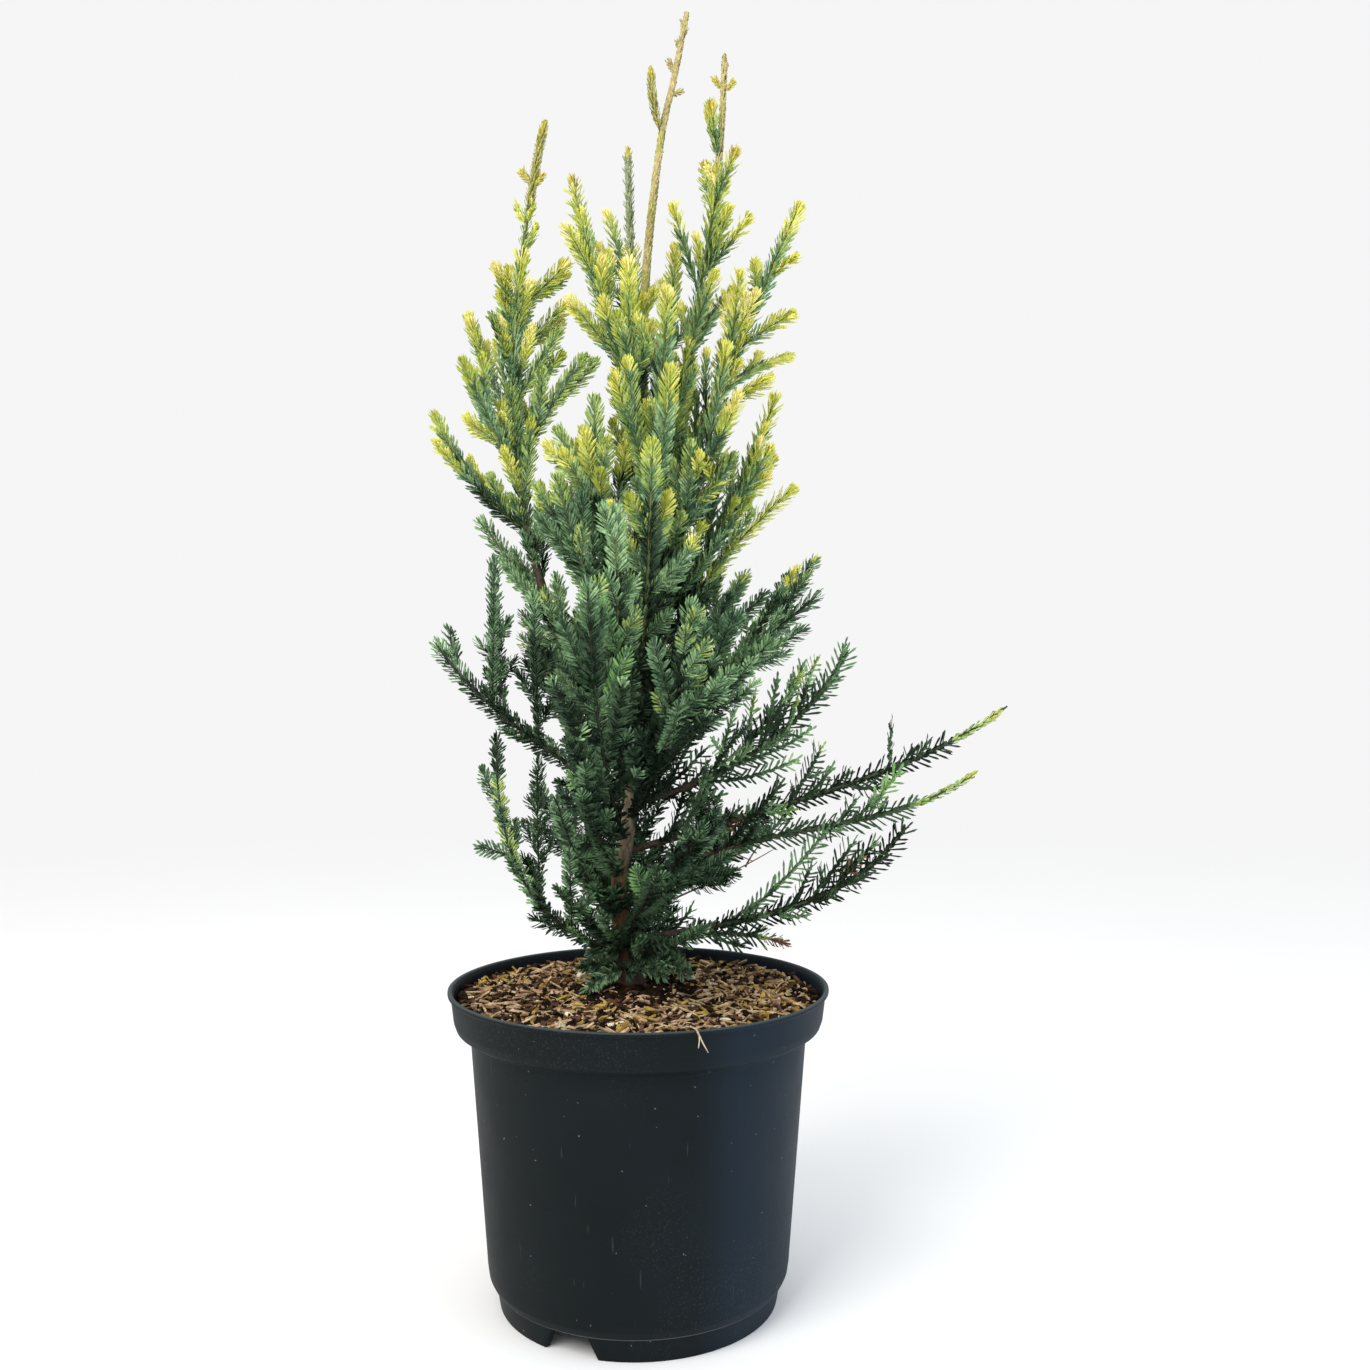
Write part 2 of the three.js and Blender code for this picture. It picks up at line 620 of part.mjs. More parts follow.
// Potting mix: it fills the pot a clearance inside the wall.
function mixGeometry() {
  const room = CLEARANCE + FACET_ROOM;
  const wall = insideWall().filter(([, z]) => z < MIX_EDGE - 1);
  const floor = FOOT_HEIGHT + BASE_THICKNESS + CLEARANCE;
  const edge = COLLAR_RADIUS - COLLAR_TAPER - WALL - room;
  const sections = [];
  for (let i = 0; i < MIX_SIDES; i += 1) {
    const bearing = (i * 360) / MIX_SIDES;
    const outline = [
      [0, floor],
      ...wall.map(([r, z]) => [r - room, Math.max(z, floor)]),
      ...[edge, 78, 52, 30, MIX_FLAT_RADIUS].map((r) => [r, mixSurface(r, radians(bearing))]),
      [0, MIX_EDGE + MIX_MOUND],
    ];
    sections.push(turnedSection(bearing, outline));
  }
  return revolved(sections);
}

// The trunk in level rings, closest together at its foot, with room added all round.
function trunkTube(room) {
  const eastward = new THREE.Vector3(1, 0, 0);
  const northward = new THREE.Vector3(0, 1, 0);
  const rings = [];
  for (let i = 0; i <= TRUNK_RINGS; i += 1) {
    const { point } = along(trunkPath, trunkPath.length * (i / TRUNK_RINGS) ** RING_CROWDING);
    rings.push(roundRing(point, eastward, northward, TRUNK_SIDES, trunkRadius(point.z) + room));
  }
  return solidOf(skin(rings));
}

// Every piece so far, so that each new one is kept clear of the pieces of other nodes.
const placed = [];
function place(node, solid) {
  placed.push({ node, solid, box: solid.boundingBox() });
}

function boxesNear(a, b) {
  return [0, 1, 2].every((k) => a.min[k] - GAP < b.max[k] && b.min[k] - GAP < a.max[k]);
}

// Whether a solid has its gap to every piece of the nodes other than one.
function isClear(solid, exceptNode) {
  const box = solid.boundingBox();
  const others = placed.filter((other) => other.node !== exceptNode && boxesNear(box, other.box));
  return others.every((other) => other.solid.minGap(solid, SEARCH) >= LEAST_GAP);
}

function largestBody(solid) {
  return solid.decompose().sort((a, b) => b.volume() - a.volume())[0];
}

const redwood = new THREE.Group();
function addNode(name, solid, material) {
  const mesh = new THREE.Mesh(geometryOf(solid), material);
  mesh.name = name;
  redwood.add(mesh);
  place(name, solid);
}

const potPlastic = new THREE.MeshStandardMaterial({ color: 0x2b3336, roughness: 0.5, metalness: 0 });
const mixBark = new THREE.MeshStandardMaterial({ color: 0x6b4a2c, roughness: 1, metalness: 0 });
const trunkBark = new THREE.MeshStandardMaterial({ color: 0x6d5138, roughness: 0.9, metalness: 0 });
const boughBark = new THREE.MeshStandardMaterial({ color: 0x3f3f2b, roughness: 0.85, metalness: 0 });
const needleGreen = new THREE.MeshStandardMaterial({ color: 0x3b5b41, roughness: 0.6, metalness: 0 });
const needleGold = new THREE.MeshStandardMaterial({ color: 0x9aa63e, roughness: 0.6, metalness: 0 });

addNode("pot", solidOf(potGeometry()), potPlastic);
addNode("potting_mix", solidOf(mixGeometry()), mixBark);
addNode("trunk", trunkTube(0), trunkBark);
const trunkRoom = trunkTube(TRUNK_GAP);

// Boughs come first, so that the foliage keeps clear of them all.
const masses = LIMBS.map((limb, number) => {
  const path = limbPath(trunkAt(limb.height), limb, limb.elbow ?? LIMB_ELBOW);
  const boughEnd = path.length * (limb.bare ?? 0);
  const girthAt = (distance) => limb.girth * (1 - (LIMB_TAPER * distance) / path.length);
  if (boughEnd) {
    const bough = largestBody(solidOf(taperedTube(path, boughEnd, girthAt)).subtract(trunkRoom));
    if (!isClear(bough)) throw new Error(`bough ${limb.name} touches a neighbour`);
    addNode(`bough_${limb.name}`, bough, boughBark);
  }
  return { limb, number, path, boughEnd, node: `foliage_${limb.name}`, pieces: [] };
});

// A blade as wide as its neighbours allow, or nothing where even the slimmest would touch one.
// Its naked root may stand in its own mass, but its barbs keep clear of every other blade.
function clearBlade(node, path, from, naked, core, seed) {
  const roll = radians(SPRAY_ROLL * (seeded(seed)() - 0.5));
  for (const share of CROWDED_SHARES) {
    const sizes = [SPRAY_REACH * share, core * Math.max(share, 0.7), roll];
    for (const longer of LONGER_NAKED) {
      const start = naked + longer;
      if (start > path.length * LONGEST_NAKED_SHARE) break;
      const cut = largestBody(solidOf(sprayBlade(path, from, start, ...sizes)).subtract(trunkRoom));
      const barbs = solidOf(sprayBlade(path, start, start, ...sizes));
      if (cut && isClear(cut, node) && isClear(barbs)) return cut;
    }
  }
  return null;
}

// The masses' stems, then their forks, and last their twigs, each in the order of the limbs.
for (const mass of masses) {
  const from = mass.boughEnd ? mass.boughEnd + GAP : 0;
  mass.naked = mass.boughEnd ? from + 1 : NAKED_START;
  const stem = clearBlade(mass.node, mass.path, from, mass.naked, SPRAY_CORE, mass.number + 1);
  if (!stem) throw new Error(`${mass.node} has no room for its stem`);
  mass.pieces.push(stem);
  place(mass.node, stem);
}
for (const mass of masses) {
  mass.forks = (mass.limb.forks ?? []).map((fork) => {
    const path = limbPath(along(mass.path, mass.path.length * fork.at).point, fork, FORK_ELBOW);
    return { fork, path };
  });
  mass.forks.forEach(({ path }, i) => {
    const blade = clearBlade(mass.node, path, 0, FORK_NAKED, FORK_CORE, 50 * mass.number + i + 7);
    if (!blade) throw new Error(`${mass.node} has no room for its fork ${i}`);
    mass.pieces.push(blade);
    place(mass.node, blade);
  });
}
for (const mass of masses) {
  const firstSeed = 100 * (mass.number + 1);
  const hosts = [{ path: mass.path, from: mass.naked, longest: mass.limb.twig, seed: firstSeed }];
  mass.forks.forEach(({ fork, path }, i) => {
    hosts.push({ path, from: FORK_NAKED, longest: fork.twig, seed: firstSeed + i + 1 });
  });
  for (const host of hosts) {
    twigsOn(host.path, host.from, host.longest, host.seed).forEach((twig, i) => {
      if (twig.length < SHORTEST_TWIG) return;
      const blade = clearBlade(mass.node, twig.path, 0, TWIG_NAKED, TWIG_CORE, host.seed + i);
      if (!blade) return;
      mass.pieces.push(blade);
      place(mass.node, blade);
    });
  }
}

for (const mass of masses) {
  const whole = largestBody(wasm.Manifold.union(mass.pieces));
  const isGold = mass.limb.tip[2] > GOLD_ABOVE;
  addNode(mass.node, whole, isGold ? needleGold : needleGreen);
}

export default redwood;
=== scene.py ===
"""A potted adpressa coast redwood: bark, needle sprays, nursery pot and potting mix, on a pale studio floor.

Sizes are millimetres and angles degrees unless a name says otherwise. +Z is up and -Y is the front.
"""
import math
from collections import defaultdict
from dataclasses import dataclass, field

import bmesh
import bpy
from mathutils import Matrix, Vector, noise


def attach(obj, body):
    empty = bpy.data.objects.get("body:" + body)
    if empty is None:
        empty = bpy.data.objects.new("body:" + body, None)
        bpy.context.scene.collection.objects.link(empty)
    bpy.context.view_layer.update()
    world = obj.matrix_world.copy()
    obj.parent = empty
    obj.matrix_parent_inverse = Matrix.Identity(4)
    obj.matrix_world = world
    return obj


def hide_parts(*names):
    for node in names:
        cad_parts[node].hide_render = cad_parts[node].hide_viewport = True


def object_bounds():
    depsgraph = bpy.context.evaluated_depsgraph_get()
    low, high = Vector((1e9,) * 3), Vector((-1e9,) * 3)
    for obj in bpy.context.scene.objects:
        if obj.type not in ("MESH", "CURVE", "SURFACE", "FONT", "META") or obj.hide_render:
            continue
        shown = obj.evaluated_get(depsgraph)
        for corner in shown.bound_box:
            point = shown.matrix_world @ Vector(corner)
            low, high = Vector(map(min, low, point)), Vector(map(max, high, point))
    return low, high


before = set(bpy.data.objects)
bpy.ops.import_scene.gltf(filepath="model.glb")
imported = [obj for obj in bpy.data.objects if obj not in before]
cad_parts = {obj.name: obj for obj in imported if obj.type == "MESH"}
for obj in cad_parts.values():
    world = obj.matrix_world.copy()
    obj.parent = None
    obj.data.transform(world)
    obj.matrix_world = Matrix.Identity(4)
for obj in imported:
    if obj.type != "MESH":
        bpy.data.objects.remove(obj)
cad_low, cad_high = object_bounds()

MM = 0.001
UP = Vector((0, 0, 1))

# Pot
POT_HEIGHT = 180
RIM_RADIUS = 110
LIP_DEPTH = 2.4
LIP_WIDTH = 2.2
COLLAR_HEIGHT = 26
COLLAR_RISE = 9
COLLAR_RADIUS = 108.2
COLLAR_TAPER = 1.7
BODY_TOP_RADIUS = 97
BODY_LOW_RADIUS = 87
BODY_ROUNDING = 11
WALL = 1.8
FOOT_HEIGHT = 12.5
FOOT_RADIUS = 80
FOOT_FLARE = 2.2
FOOT_WIDTH = 3.5
BASE_THICKNESS = 2.5
PAD_RADIUS = 24
NOTCH_BEARINGS = (-25, 95, 215)
NOTCH_TOP_ANGLE = 7.7
NOTCH_FOOT_ANGLE = 11.5
NOTCH_RELIEF = 0.5
POT_SECTIONS = 240
POT_ROUNDING = 0.8
SIDE_TO_CORNER = 2.2
PAD_SLOPE = 2
FOOT_SLOPE = 0.5
STEP_WIDTH = 1.6
STEP_HEIGHT = 1
BODY_TUCK = 0.8
COLLAR_NECK = 1.6
LIP_ROLL = 0.8
FLOOR_ROUNDING = 2.4

# Potting mix
MIX_EDGE = 170.5
MIX_MOUND = 5.5
MIX_FLAT_RADIUS = 14
MIX_RIPPLE = 0.9
RIPPLE_WAVES = 5
RIPPLE_TWIST = 13
RIPPLE_RUN = 17
CLEARANCE = 0.35
MIX_REACH = 104
MIX_DEPTH = 12
CRUMB_RELIEF = 1.5
CRUMB = 3
FINE_CRUMB = 1.3
WALL_HEAP = 3
HEAP_FROM = 60

# Trunk
TRUNK_FOOT = MIX_EDGE + MIX_MOUND + CLEARANCE
TREE_TOP = 749
TRUNK_LINE = (
    (-5, 12, TRUNK_FOOT),
    (-12, 9, 228),
    (-4, 4, 290),
    (0, 1, 400),
    (2, 0, 500),
    (3.5, 0, 585),
    (8.5, 1, 640),
    (14, 3, 681),
    (20.5, 4, 710),
    (28, 4, TREE_TOP),
)
TRUNK_STEPS = 96
TRUNK_TIP_RADIUS = 1.3
TRUNK_SWELL = 4.3
TRUNK_TAPER = 1.1
FLARE = 3.4
FLARE_HEIGHT = 11
BARE_LEADER_FROM = 585

# The growth rule of limbs, forks and twigs
LIMB_TAPER = 0.55
LIMB_ELBOW = 0.5
FORK_ELBOW = 0.45
PATH_STEPS = 16
NAKED_START = 16
FORK_NAKED = 9
TWIG_NAKED = 8
TWIG_SPACING = 12
TWIG_LEAN = 42
TWIG_LEAN_SPREAD = 16
TWIG_ROLL_SPREAD = 90
TWIG_RISE = 0.55
TWIG_TIP_ROOM = 14

# A twig's length by its place on the stem: its share at the ends, and the stretch of a wave between them
TWIG_AT_ENDS = 0.35
TWIG_WAVE = 0.85
TWIG_WAVE_START = 0.28
TWIG_LENGTHS_FROM = 0.8
TWIG_STEPS_FROM = 0.75
TWIG_STRAY = 0.5

# Finer twigs, which the rule is carried on to
SHORTEST_LOW_TWIG = 12
SHORTEST_HIGH_TWIG = 21
SHORTEST_TOP_TWIG = 25
LOW_TWIGS_TO = 280
HIGH_TWIGS_FROM = 430
TOP_TWIGS_FROM = 500
INNER_START = 5
TRUNK_ROOM = 3
FILL_SPACING = 15
FILL_SHARE = 2.0
FILL_START = 8
SPARSE_ABOVE = 420
BOX_ROOM = 0.6


@dataclass
class Lay:
    """How twigs leave their stem: the lean and its spread, the spread about the two sides, and the rise."""

    lean: float = TWIG_LEAN
    lean_spread: float = TWIG_LEAN_SPREAD
    roll_spread: float = TWIG_ROLL_SPREAD
    rise: float = TWIG_RISE


RULE_LAY = Lay()
FILL_LAY = Lay(25, 14, 160, 0.5)
TRUNK_LAY = Lay(34, 20, 40, 0.7)
FOOT_LAY = Lay(52, 24, 50, 0.5)
HANGING_LAY = Lay(72, 26, 40, -0.55)
RISING_LAY = Lay(50, 20, 120, 0.9)
BOUGH_LAY = Lay(34, 16, 150, 0.6)


@dataclass
class Limb:
    """A limb: its root's height on the trunk, its tip, the lift that it sets out at, and its girth.

    Twig is the length of its longest twig, elbow how far out it bends, and bare its bough's share.
    A fork is (share of the limb's length, tip, lift, longest twig).
    """

    name: str
    height: float
    tip: tuple
    lift: float
    girth: float
    twig: float
    elbow: float = LIMB_ELBOW
    bare: float = 0
    forks: list = field(default_factory=list)


LIMBS = [
    Limb("left_leader", 310, (-55, 5, 687), 50, 3.1, 25, elbow=0.44, bare=0.32, forks=[
        (0.38, (-117, -12, 509), 28, 18),
        (0.46, (-98, -28, 537), 50, 20),
        (0.5, (-74, 48, 528), 50, 20),
        (0.48, (-28, -36, 536), 50, 20),
        (0.59, (-81, -32, 560), 62, 18),
        (0.54, (-104, 26, 577), 52, 16),
        (0.57, (-45, -14, 557), 45, 14),
        (0.65, (-66, 38, 600), 58, 14),
        (0.69, (-80, -24, 591), 50, 14),
        (0.64, (-42, 14, 582), 45, 12),
        (0.71, (-43, 16, 606), 40, 12),
    ]),
    Limb("left_side", 338, (-97, 28, 454), 44, 2.2, 24, bare=0.36),
    Limb("left_low", 285, (-123, -5, 388), 30, 2.4, 22, elbow=0.7, bare=0.26, forks=[
        (0.4, (-58, -30, 407), 62, 20),
        (0.56, (-88, 30, 404), 55, 20),
        (0.62, (-81, -22, 427), 80, 16),
        (0.8, (-115, 20, 390), 50, 12),
    ]),
    Limb("left_base", 200, (-82, -5, 327), 17, 2, 26, elbow=0.56, forks=[
        (0.2, (-38, -26, 262), 40, 22),
        (0.35, (-60, 12, 313), 55, 20),
        (0.55, (-95, -8, 261), 25, 10),
        (0.72, (-93, 5, 307), 50, 10),
    ]),
    Limb("left_inner", 215, (-46, -28, 293), 38, 1.8, 24),
    Limb("left_front", 240, (-33, -64, 336), 32, 1.9, 26),
    Limb("left_middle", 364, (-44, -40, 470), 46, 1.9, 26, forks=[(0.45, (-58, -16, 468), 62, 18)]),
    Limb("left_high", 397, (-24, -26, 516), 50, 1.9, 26, elbow=0.48, forks=[
        (0.4, (-46, -18, 500), 60, 20),
    ]),
    Limb("middle_leader", 510, (-39, -5, 649), 64, 2.2, 22, elbow=0.35, forks=[
        (0.24, (-40, -14, 575), 48, 14),
        (0.55, (-42, -13, 617), 66, 10),
    ]),
    Limb("middle_top", 540, (-7, 12, 673), 74, 1.7, 14, elbow=0.4, forks=[(0.2, (-20, 26, 639), 70, 14)]),
    Limb("middle_front", 488, (-5, -30, 592), 40, 1.7, 22, elbow=0.32),
    Limb("middle_gold", 466, (17, -31, 576), 45, 1.7, 22, elbow=0.35),
    Limb("middle_back", 500, (21, 34, 622), 48, 1.7, 22, elbow=0.35),
    Limb("front_gold", 426, (19, -50, 528), 42, 1.8, 24, elbow=0.42, forks=[(0.3, (-5, -40, 534), 66, 20)]),
    Limb("right_leader", 456, (50, 3, 725), 70, 2.8, 22, bare=0.26, forks=[
        (0.33, (56, 28, 594), 60, 18),
        (0.3, (44, -34, 584), 60, 18),
        (0.48, (20, -14, 629), 55, 14),
        (0.52, (64, -14, 622), 40, 12),
        (0.55, (52, 30, 642), 60, 12),
        (0.64, (39, 18, 665), 60, 8),
        (0.66, (56, -14, 660), 60, 8),
        (0.76, (42, -4, 692), 70, 6),
    ]),
    Limb("right_upper", 406, (95, 11, 638), 69, 2.5, 22, elbow=0.6, bare=0.3, forks=[
        (0.44, (73, -22, 527), 35, 18),
        (0.5, (92, 40, 556), 46, 18),
        (0.56, (58, -16, 590), 62, 16),
        (0.62, (89, -14, 567), 30, 12),
        (0.74, (69, 34, 612), 50, 12),
        (0.8, (91, -10, 600), 30, 8),
    ]),
    Limb("right_front", 400, (50, -38, 543), 48, 1.9, 26, elbow=0.45),
    Limb("right_outer", 375, (80, 0, 523), 50, 2, 24, elbow=0.48, forks=[
        (0.42, (47, -30, 493), 60, 18),
        (0.46, (72, 36, 500), 50, 18),
        (0.52, (75, -26, 488), 40, 18),
    ]),
    Limb("right_gold", 350, (91, 6, 470), 64, 2, 26, forks=[(0.55, (65, -26, 452), 45, 18)]),
    Limb("right_middle", 320, (106, -4, 408), 38, 2.3, 24, bare=0.26, forks=[
        (0.6, (90, 28, 423), 55, 18),
        (0.72, (105, 11, 430), 62, 12),
        (0.48, (96, -30, 387), 18, 18),
    ]),
    Limb("right_lower", 284, (124, 6, 377), 14, 2.2, 28, elbow=0.6, bare=0.24, forks=[
        (0.3, (62, -36, 332), 44, 20),
        (0.4, (82, 16, 344), 50, 18),
        (0.5, (94, -28, 362), 55, 18),
        (0.68, (108, 34, 372), 60, 14),
    ]),
    Limb("right_long_upper", 256, (222, 15, 344), 14, 2.2, 24, elbow=0.46, bare=0.28, forks=[
        (0.66, (148, 6, 333), 84, 8),
        (0.4, (112, 44, 318), 30, 20),
    ]),
    Limb("right_long_middle", 236, (196, -10, 305), 22, 2.1, 26, elbow=0.545, bare=0.28, forks=[
        (0.3, (82, -30, 300), 42, 20),
        (0.68, (150, -18, 306), 58, 12),
    ]),
    Limb("right_long_low", 204, (158, 5, 273), 5, 2.1, 30, elbow=0.58, bare=0.28, forks=[
        (0.36, (111, -8, 273), 38, 10),
        (0.6, (130, 22, 262), 45, 20),
        (0.68, (138, -16, 266), 50, 22),
    ]),
    Limb("right_foot", 192, (94, 62, 190), 22, 1.8, 20, bare=0.36),
    Limb("front_low_right", 222, (37, -74, 277), 22, 1.8, 28, forks=[
        (0.25, (58, -34, 248), 25, 22),
        (0.4, (46, -46, 288), 40, 20),
    ]),
    Limb("front_low", 206, (12, -86, 256), 18, 1.8, 28),
    Limb("front_base", 192, (30, -72, 200), 24, 1.7, 22),
    Limb("front_middle_left", 298, (-10, -66, 449), 38, 1.9, 28),
    Limb("front_middle", 262, (-24, -80, 410), 34, 2, 30, elbow=0.52),
    Limb("front_middle_right", 274, (30, -76, 400), 34, 2, 28, elbow=0.52, forks=[
        (0.45, (54, -72, 364), 40, 20),
    ]),
    Limb("front_centre", 350, (9, -58, 486), 38, 1.8, 26, elbow=0.45),
    Limb("front_right", 306, (76, -46, 380), 34, 1.9, 26, forks=[(0.4, (54, -58, 396), 50, 20)]),
    Limb("back_low_left", 226, (-72, 92, 292), 24, 2.1, 30, bare=0.3, forks=[
        (0.55, (-34, 96, 300), 45, 20),
    ]),
    Limb("back_low_right", 214, (84, 104, 266), 20, 2.1, 30, bare=0.3, forks=[
        (0.55, (40, 108, 276), 40, 20),
    ]),
    Limb("back_middle_left", 296, (-76, 66, 402), 38, 2, 28, forks=[(0.45, (-44, 86, 398), 50, 20)]),
    Limb("back_middle", 270, (4, 98, 392), 36, 2.1, 30, bare=0.26, forks=[(0.5, (34, 84, 374), 52, 20)]),
    Limb("back_middle_right", 330, (66, 62, 426), 40, 2, 28, forks=[(0.45, (34, 74, 436), 55, 20)]),
    Limb("back_high_left", 380, (-42, 56, 506), 46, 1.9, 28, elbow=0.48),
    Limb("back_high", 350, (10, 68, 482), 44, 1.9, 28, elbow=0.48),
    Limb("back_high_right", 428, (30, 50, 560), 50, 1.8, 26, elbow=0.45),
    Limb("leader_shoot", 675, (7, -4, 713), 62, 1, 0),
]


def share_between(value, low, high):
    """How far a value is on its way from low to high: 0 before it, 1 beyond."""
    return min(1, max(0, (value - low) / (high - low)))


def seeded(seed):
    """A repeatable stream of numbers from 0 to 1."""
    state = seed

    def draw():
        nonlocal state
        state = (state * 1664525 + 1013904223) % 4294967296
        return state / 4294967296

    return draw


class Path:
    """A line of points, the distance run at each, and the level direction across the plane it rises in."""

    def __init__(self, points):
        self.points = points
        self.run = [0.0]
        for before, after in zip(points, points[1:]):
            self.run.append(self.run[-1] + (after - before).length)
        self.length = self.run[-1]
        level = points[-1] - points[0]
        level.z = 0
        self.side = UP.cross(level.normalized())

    def at(self, distance):
        """The point at a distance, its heading, and the way its upper side faces."""
        i = 1
        while i < len(self.run) - 1 and self.run[i] < distance:
            i += 1
        before, after = self.points[i - 1], self.points[i]
        share = (distance - self.run[i - 1]) / (self.run[i] - self.run[i - 1])
        heading = (after - before).normalized()
        return before.lerp(after, share), heading, heading.cross(self.side)


def bend_at(a, b, c, t):
    """Where a bend from a to c that sets out towards b has come to at a share of its course."""
    return a * (1 - t) ** 2 + b * (2 * t * (1 - t)) + c * t * t


def bent_path(a, b, c):
    return Path([bend_at(a, b, c, i / PATH_STEPS) for i in range(PATH_STEPS + 1)])


def rounded_through(marks, steps):
    """A smooth centripetal curve through marks."""
    marks = [Vector(mark) for mark in marks]
    spans = len(marks) - 1
    points = []
    for i in range(steps + 1):
        place = spans * i / steps
        k = min(int(place), spans - 1)
        t = place - k
        start, end = marks[k], marks[k + 1]
        before = marks[k - 1] if k else start * 2 - end
        after = marks[k + 2] if k + 2 <= spans else end * 2 - start
        gaps = [math.sqrt((b - a).length) for a, b in ((before, start), (start, end), (end, after))]
        leave = (start - before) / gaps[0] - (end - before) / (gaps[0] + gaps[1]) + (end - start) / gaps[1]
        arrive = (end - start) / gaps[1] - (after - start) / (gaps[1] + gaps[2]) + (after - end) / gaps[2]
        leave *= gaps[1]
        arrive *= gaps[1]
        square = start * -3 + end * 3 - leave * 2 - arrive
        cube = start * 2 - end * 2 + leave + arrive
        points.append(start + leave * t + square * t * t + cube * t * t * t)
    return Path(points)


trunk = rounded_through(TRUNK_LINE, TRUNK_STEPS)


def trunk_radius(height):
    share = (height - TRUNK_FOOT) / (TREE_TOP - TRUNK_FOOT)
    swell = TRUNK_SWELL * max(0, 1 - share) ** TRUNK_TAPER
    return TRUNK_TIP_RADIUS + swell + FLARE * math.exp(-(height - TRUNK_FOOT) / FLARE_HEIGHT)


def trunk_at(height):
    """The trunk's middle at a height."""
    for before, after in zip(trunk.points, trunk.points[1:]):
        if after.z >= height:
            return before.lerp(after, (height - before.z) / (after.z - before.z))
    return trunk.points[-1]


# Limbs that sag before their tips rise: by how much, and how far along they sag most
NO_SAG = (0, 0.5)
SAGS = {
    "right_long_upper": (6, 0.78),
    "right_long_middle": (11, 0.75),
    "right_long_low": (7, 0.75),
    "left_base": (6, 0.35),
}


def limb_path(start, tip, lift, elbow, sag=NO_SAG):
    """A limb's path: it sets out at its lift, on its tip's bearing, and bends to its tip."""
    tip = Vector(tip)
    course = tip - start
    course.z = 0
    course = course.normalized() * math.cos(math.radians(lift))
    course.z = math.sin(math.radians(lift))
    path = bent_path(start, start + course * ((tip - start).length * elbow), tip)
    depth, middle = sag
    for i, point in enumerate(path.points):
        share = i / PATH_STEPS
        point.z -= depth * (share / middle) ** (middle / (1 - middle)) * (1 - share) / (1 - middle)
    return Path(path.points)


def twigs_on(path, start, longest, seed, spacing=TWIG_SPACING, lay=RULE_LAY, capped=False):
    """Side twigs, alternating from side to side, longest below the middle and short at both ends.

    Capped twigs don't reach past their own stem's tip.
    """
    draw = seeded(seed)
    twigs = []
    room = path.length - TWIG_TIP_ROOM - start
    side = 1
    place = start + spacing * draw()
    while place < start + room:
        share = (place - start) / room
        wave = math.sin(math.pi * min(1, share * TWIG_WAVE + TWIG_WAVE_START))
        fullness = TWIG_AT_ENDS + (1 - TWIG_AT_ENDS) * wave
        length = longest * fullness * (TWIG_LENGTHS_FROM + TWIG_STRAY * draw())
        lean = math.radians(lay.lean + lay.lean_spread * (draw() - 0.5))
        roll = math.radians(lay.roll_spread * (draw() - 0.5))
        if capped:
            length = min(length, 0.9 * (path.length - place) + 4)
        point, heading, upper = path.at(place)
        out = path.side * (side * math.cos(roll)) + upper * math.sin(roll)
        course = heading * math.cos(lean) + out * math.sin(lean)
        bend = point + course * (length / 2)
        end = bend + (course + UP * lay.rise).normalized() * (length / 2)
        twigs.append(bent_path(point, bend, end))
        place += spacing * (TWIG_STEPS_FROM + TWIG_STRAY * draw())
        side = -side
    return twigs


@dataclass
class Shoot:
    """A stem with needles: where they start along it, its region, and its radius at its foot.

    Its rank is 0 for a limb, 1 for a fork, 2 for a twig and 3 for a bud, with its needle and colours.
    """

    path: Path
    start: float
    region: str
    radius: float
    seed: int
    rank: int
    limb: str = ""
    club: tuple = ()


REGIONS = ("left", "middle", "right", "front", "back")
LONG_BOUGHS = ("right_lower", "right_long_upper", "right_long_middle", "right_long_low", "right_foot")
OPEN_LIMBS = (*LONG_BOUGHS[1:], "left_base", "left_inner", "left_low", "right_gold", "back_low_left")
TWIG_RADIUS = 0.5
FORK_RADIUS = 0.85
BUD_RADIUS = 0.7
BUD_FOOT = 4

# The gap in the front where the trunk shows: its middle, half width, foot, top and how far back it ends
TRUNK_GAP = (-6, 3.6, 221, 284, 4)

# Twigs on the bare boughs: those that rise most have long ones, and the long boughs few
BOUGH_STEPS = 12
BOUGH_TWIG_FROM = 12
BOUGH_TWIG_SHARE = 1.6
BOUGH_TWIG_SPACING = 6
LONG_BOUGH_SPACING = 17
RISING_TWIG = 50
RISING_TWIG_SPACING = 7
RISING_BOUGHS = ("right_middle", "right_lower", "right_long_upper", "right_long_middle", "right_foot")

# Twigs on the trunk itself: from and to which height, their length, how many directions, spacing and lay
TRUNK_TWIGS = (
    (183, 205, 36, 5, 5, HANGING_LAY),
    (188, 262, 40, 5, 10, FOOT_LAY),
    (240, 420, 54, 4, 16, TRUNK_LAY),
    (400, BARE_LEADER_FROM, 46, 3, 17, TRUNK_LAY),
)

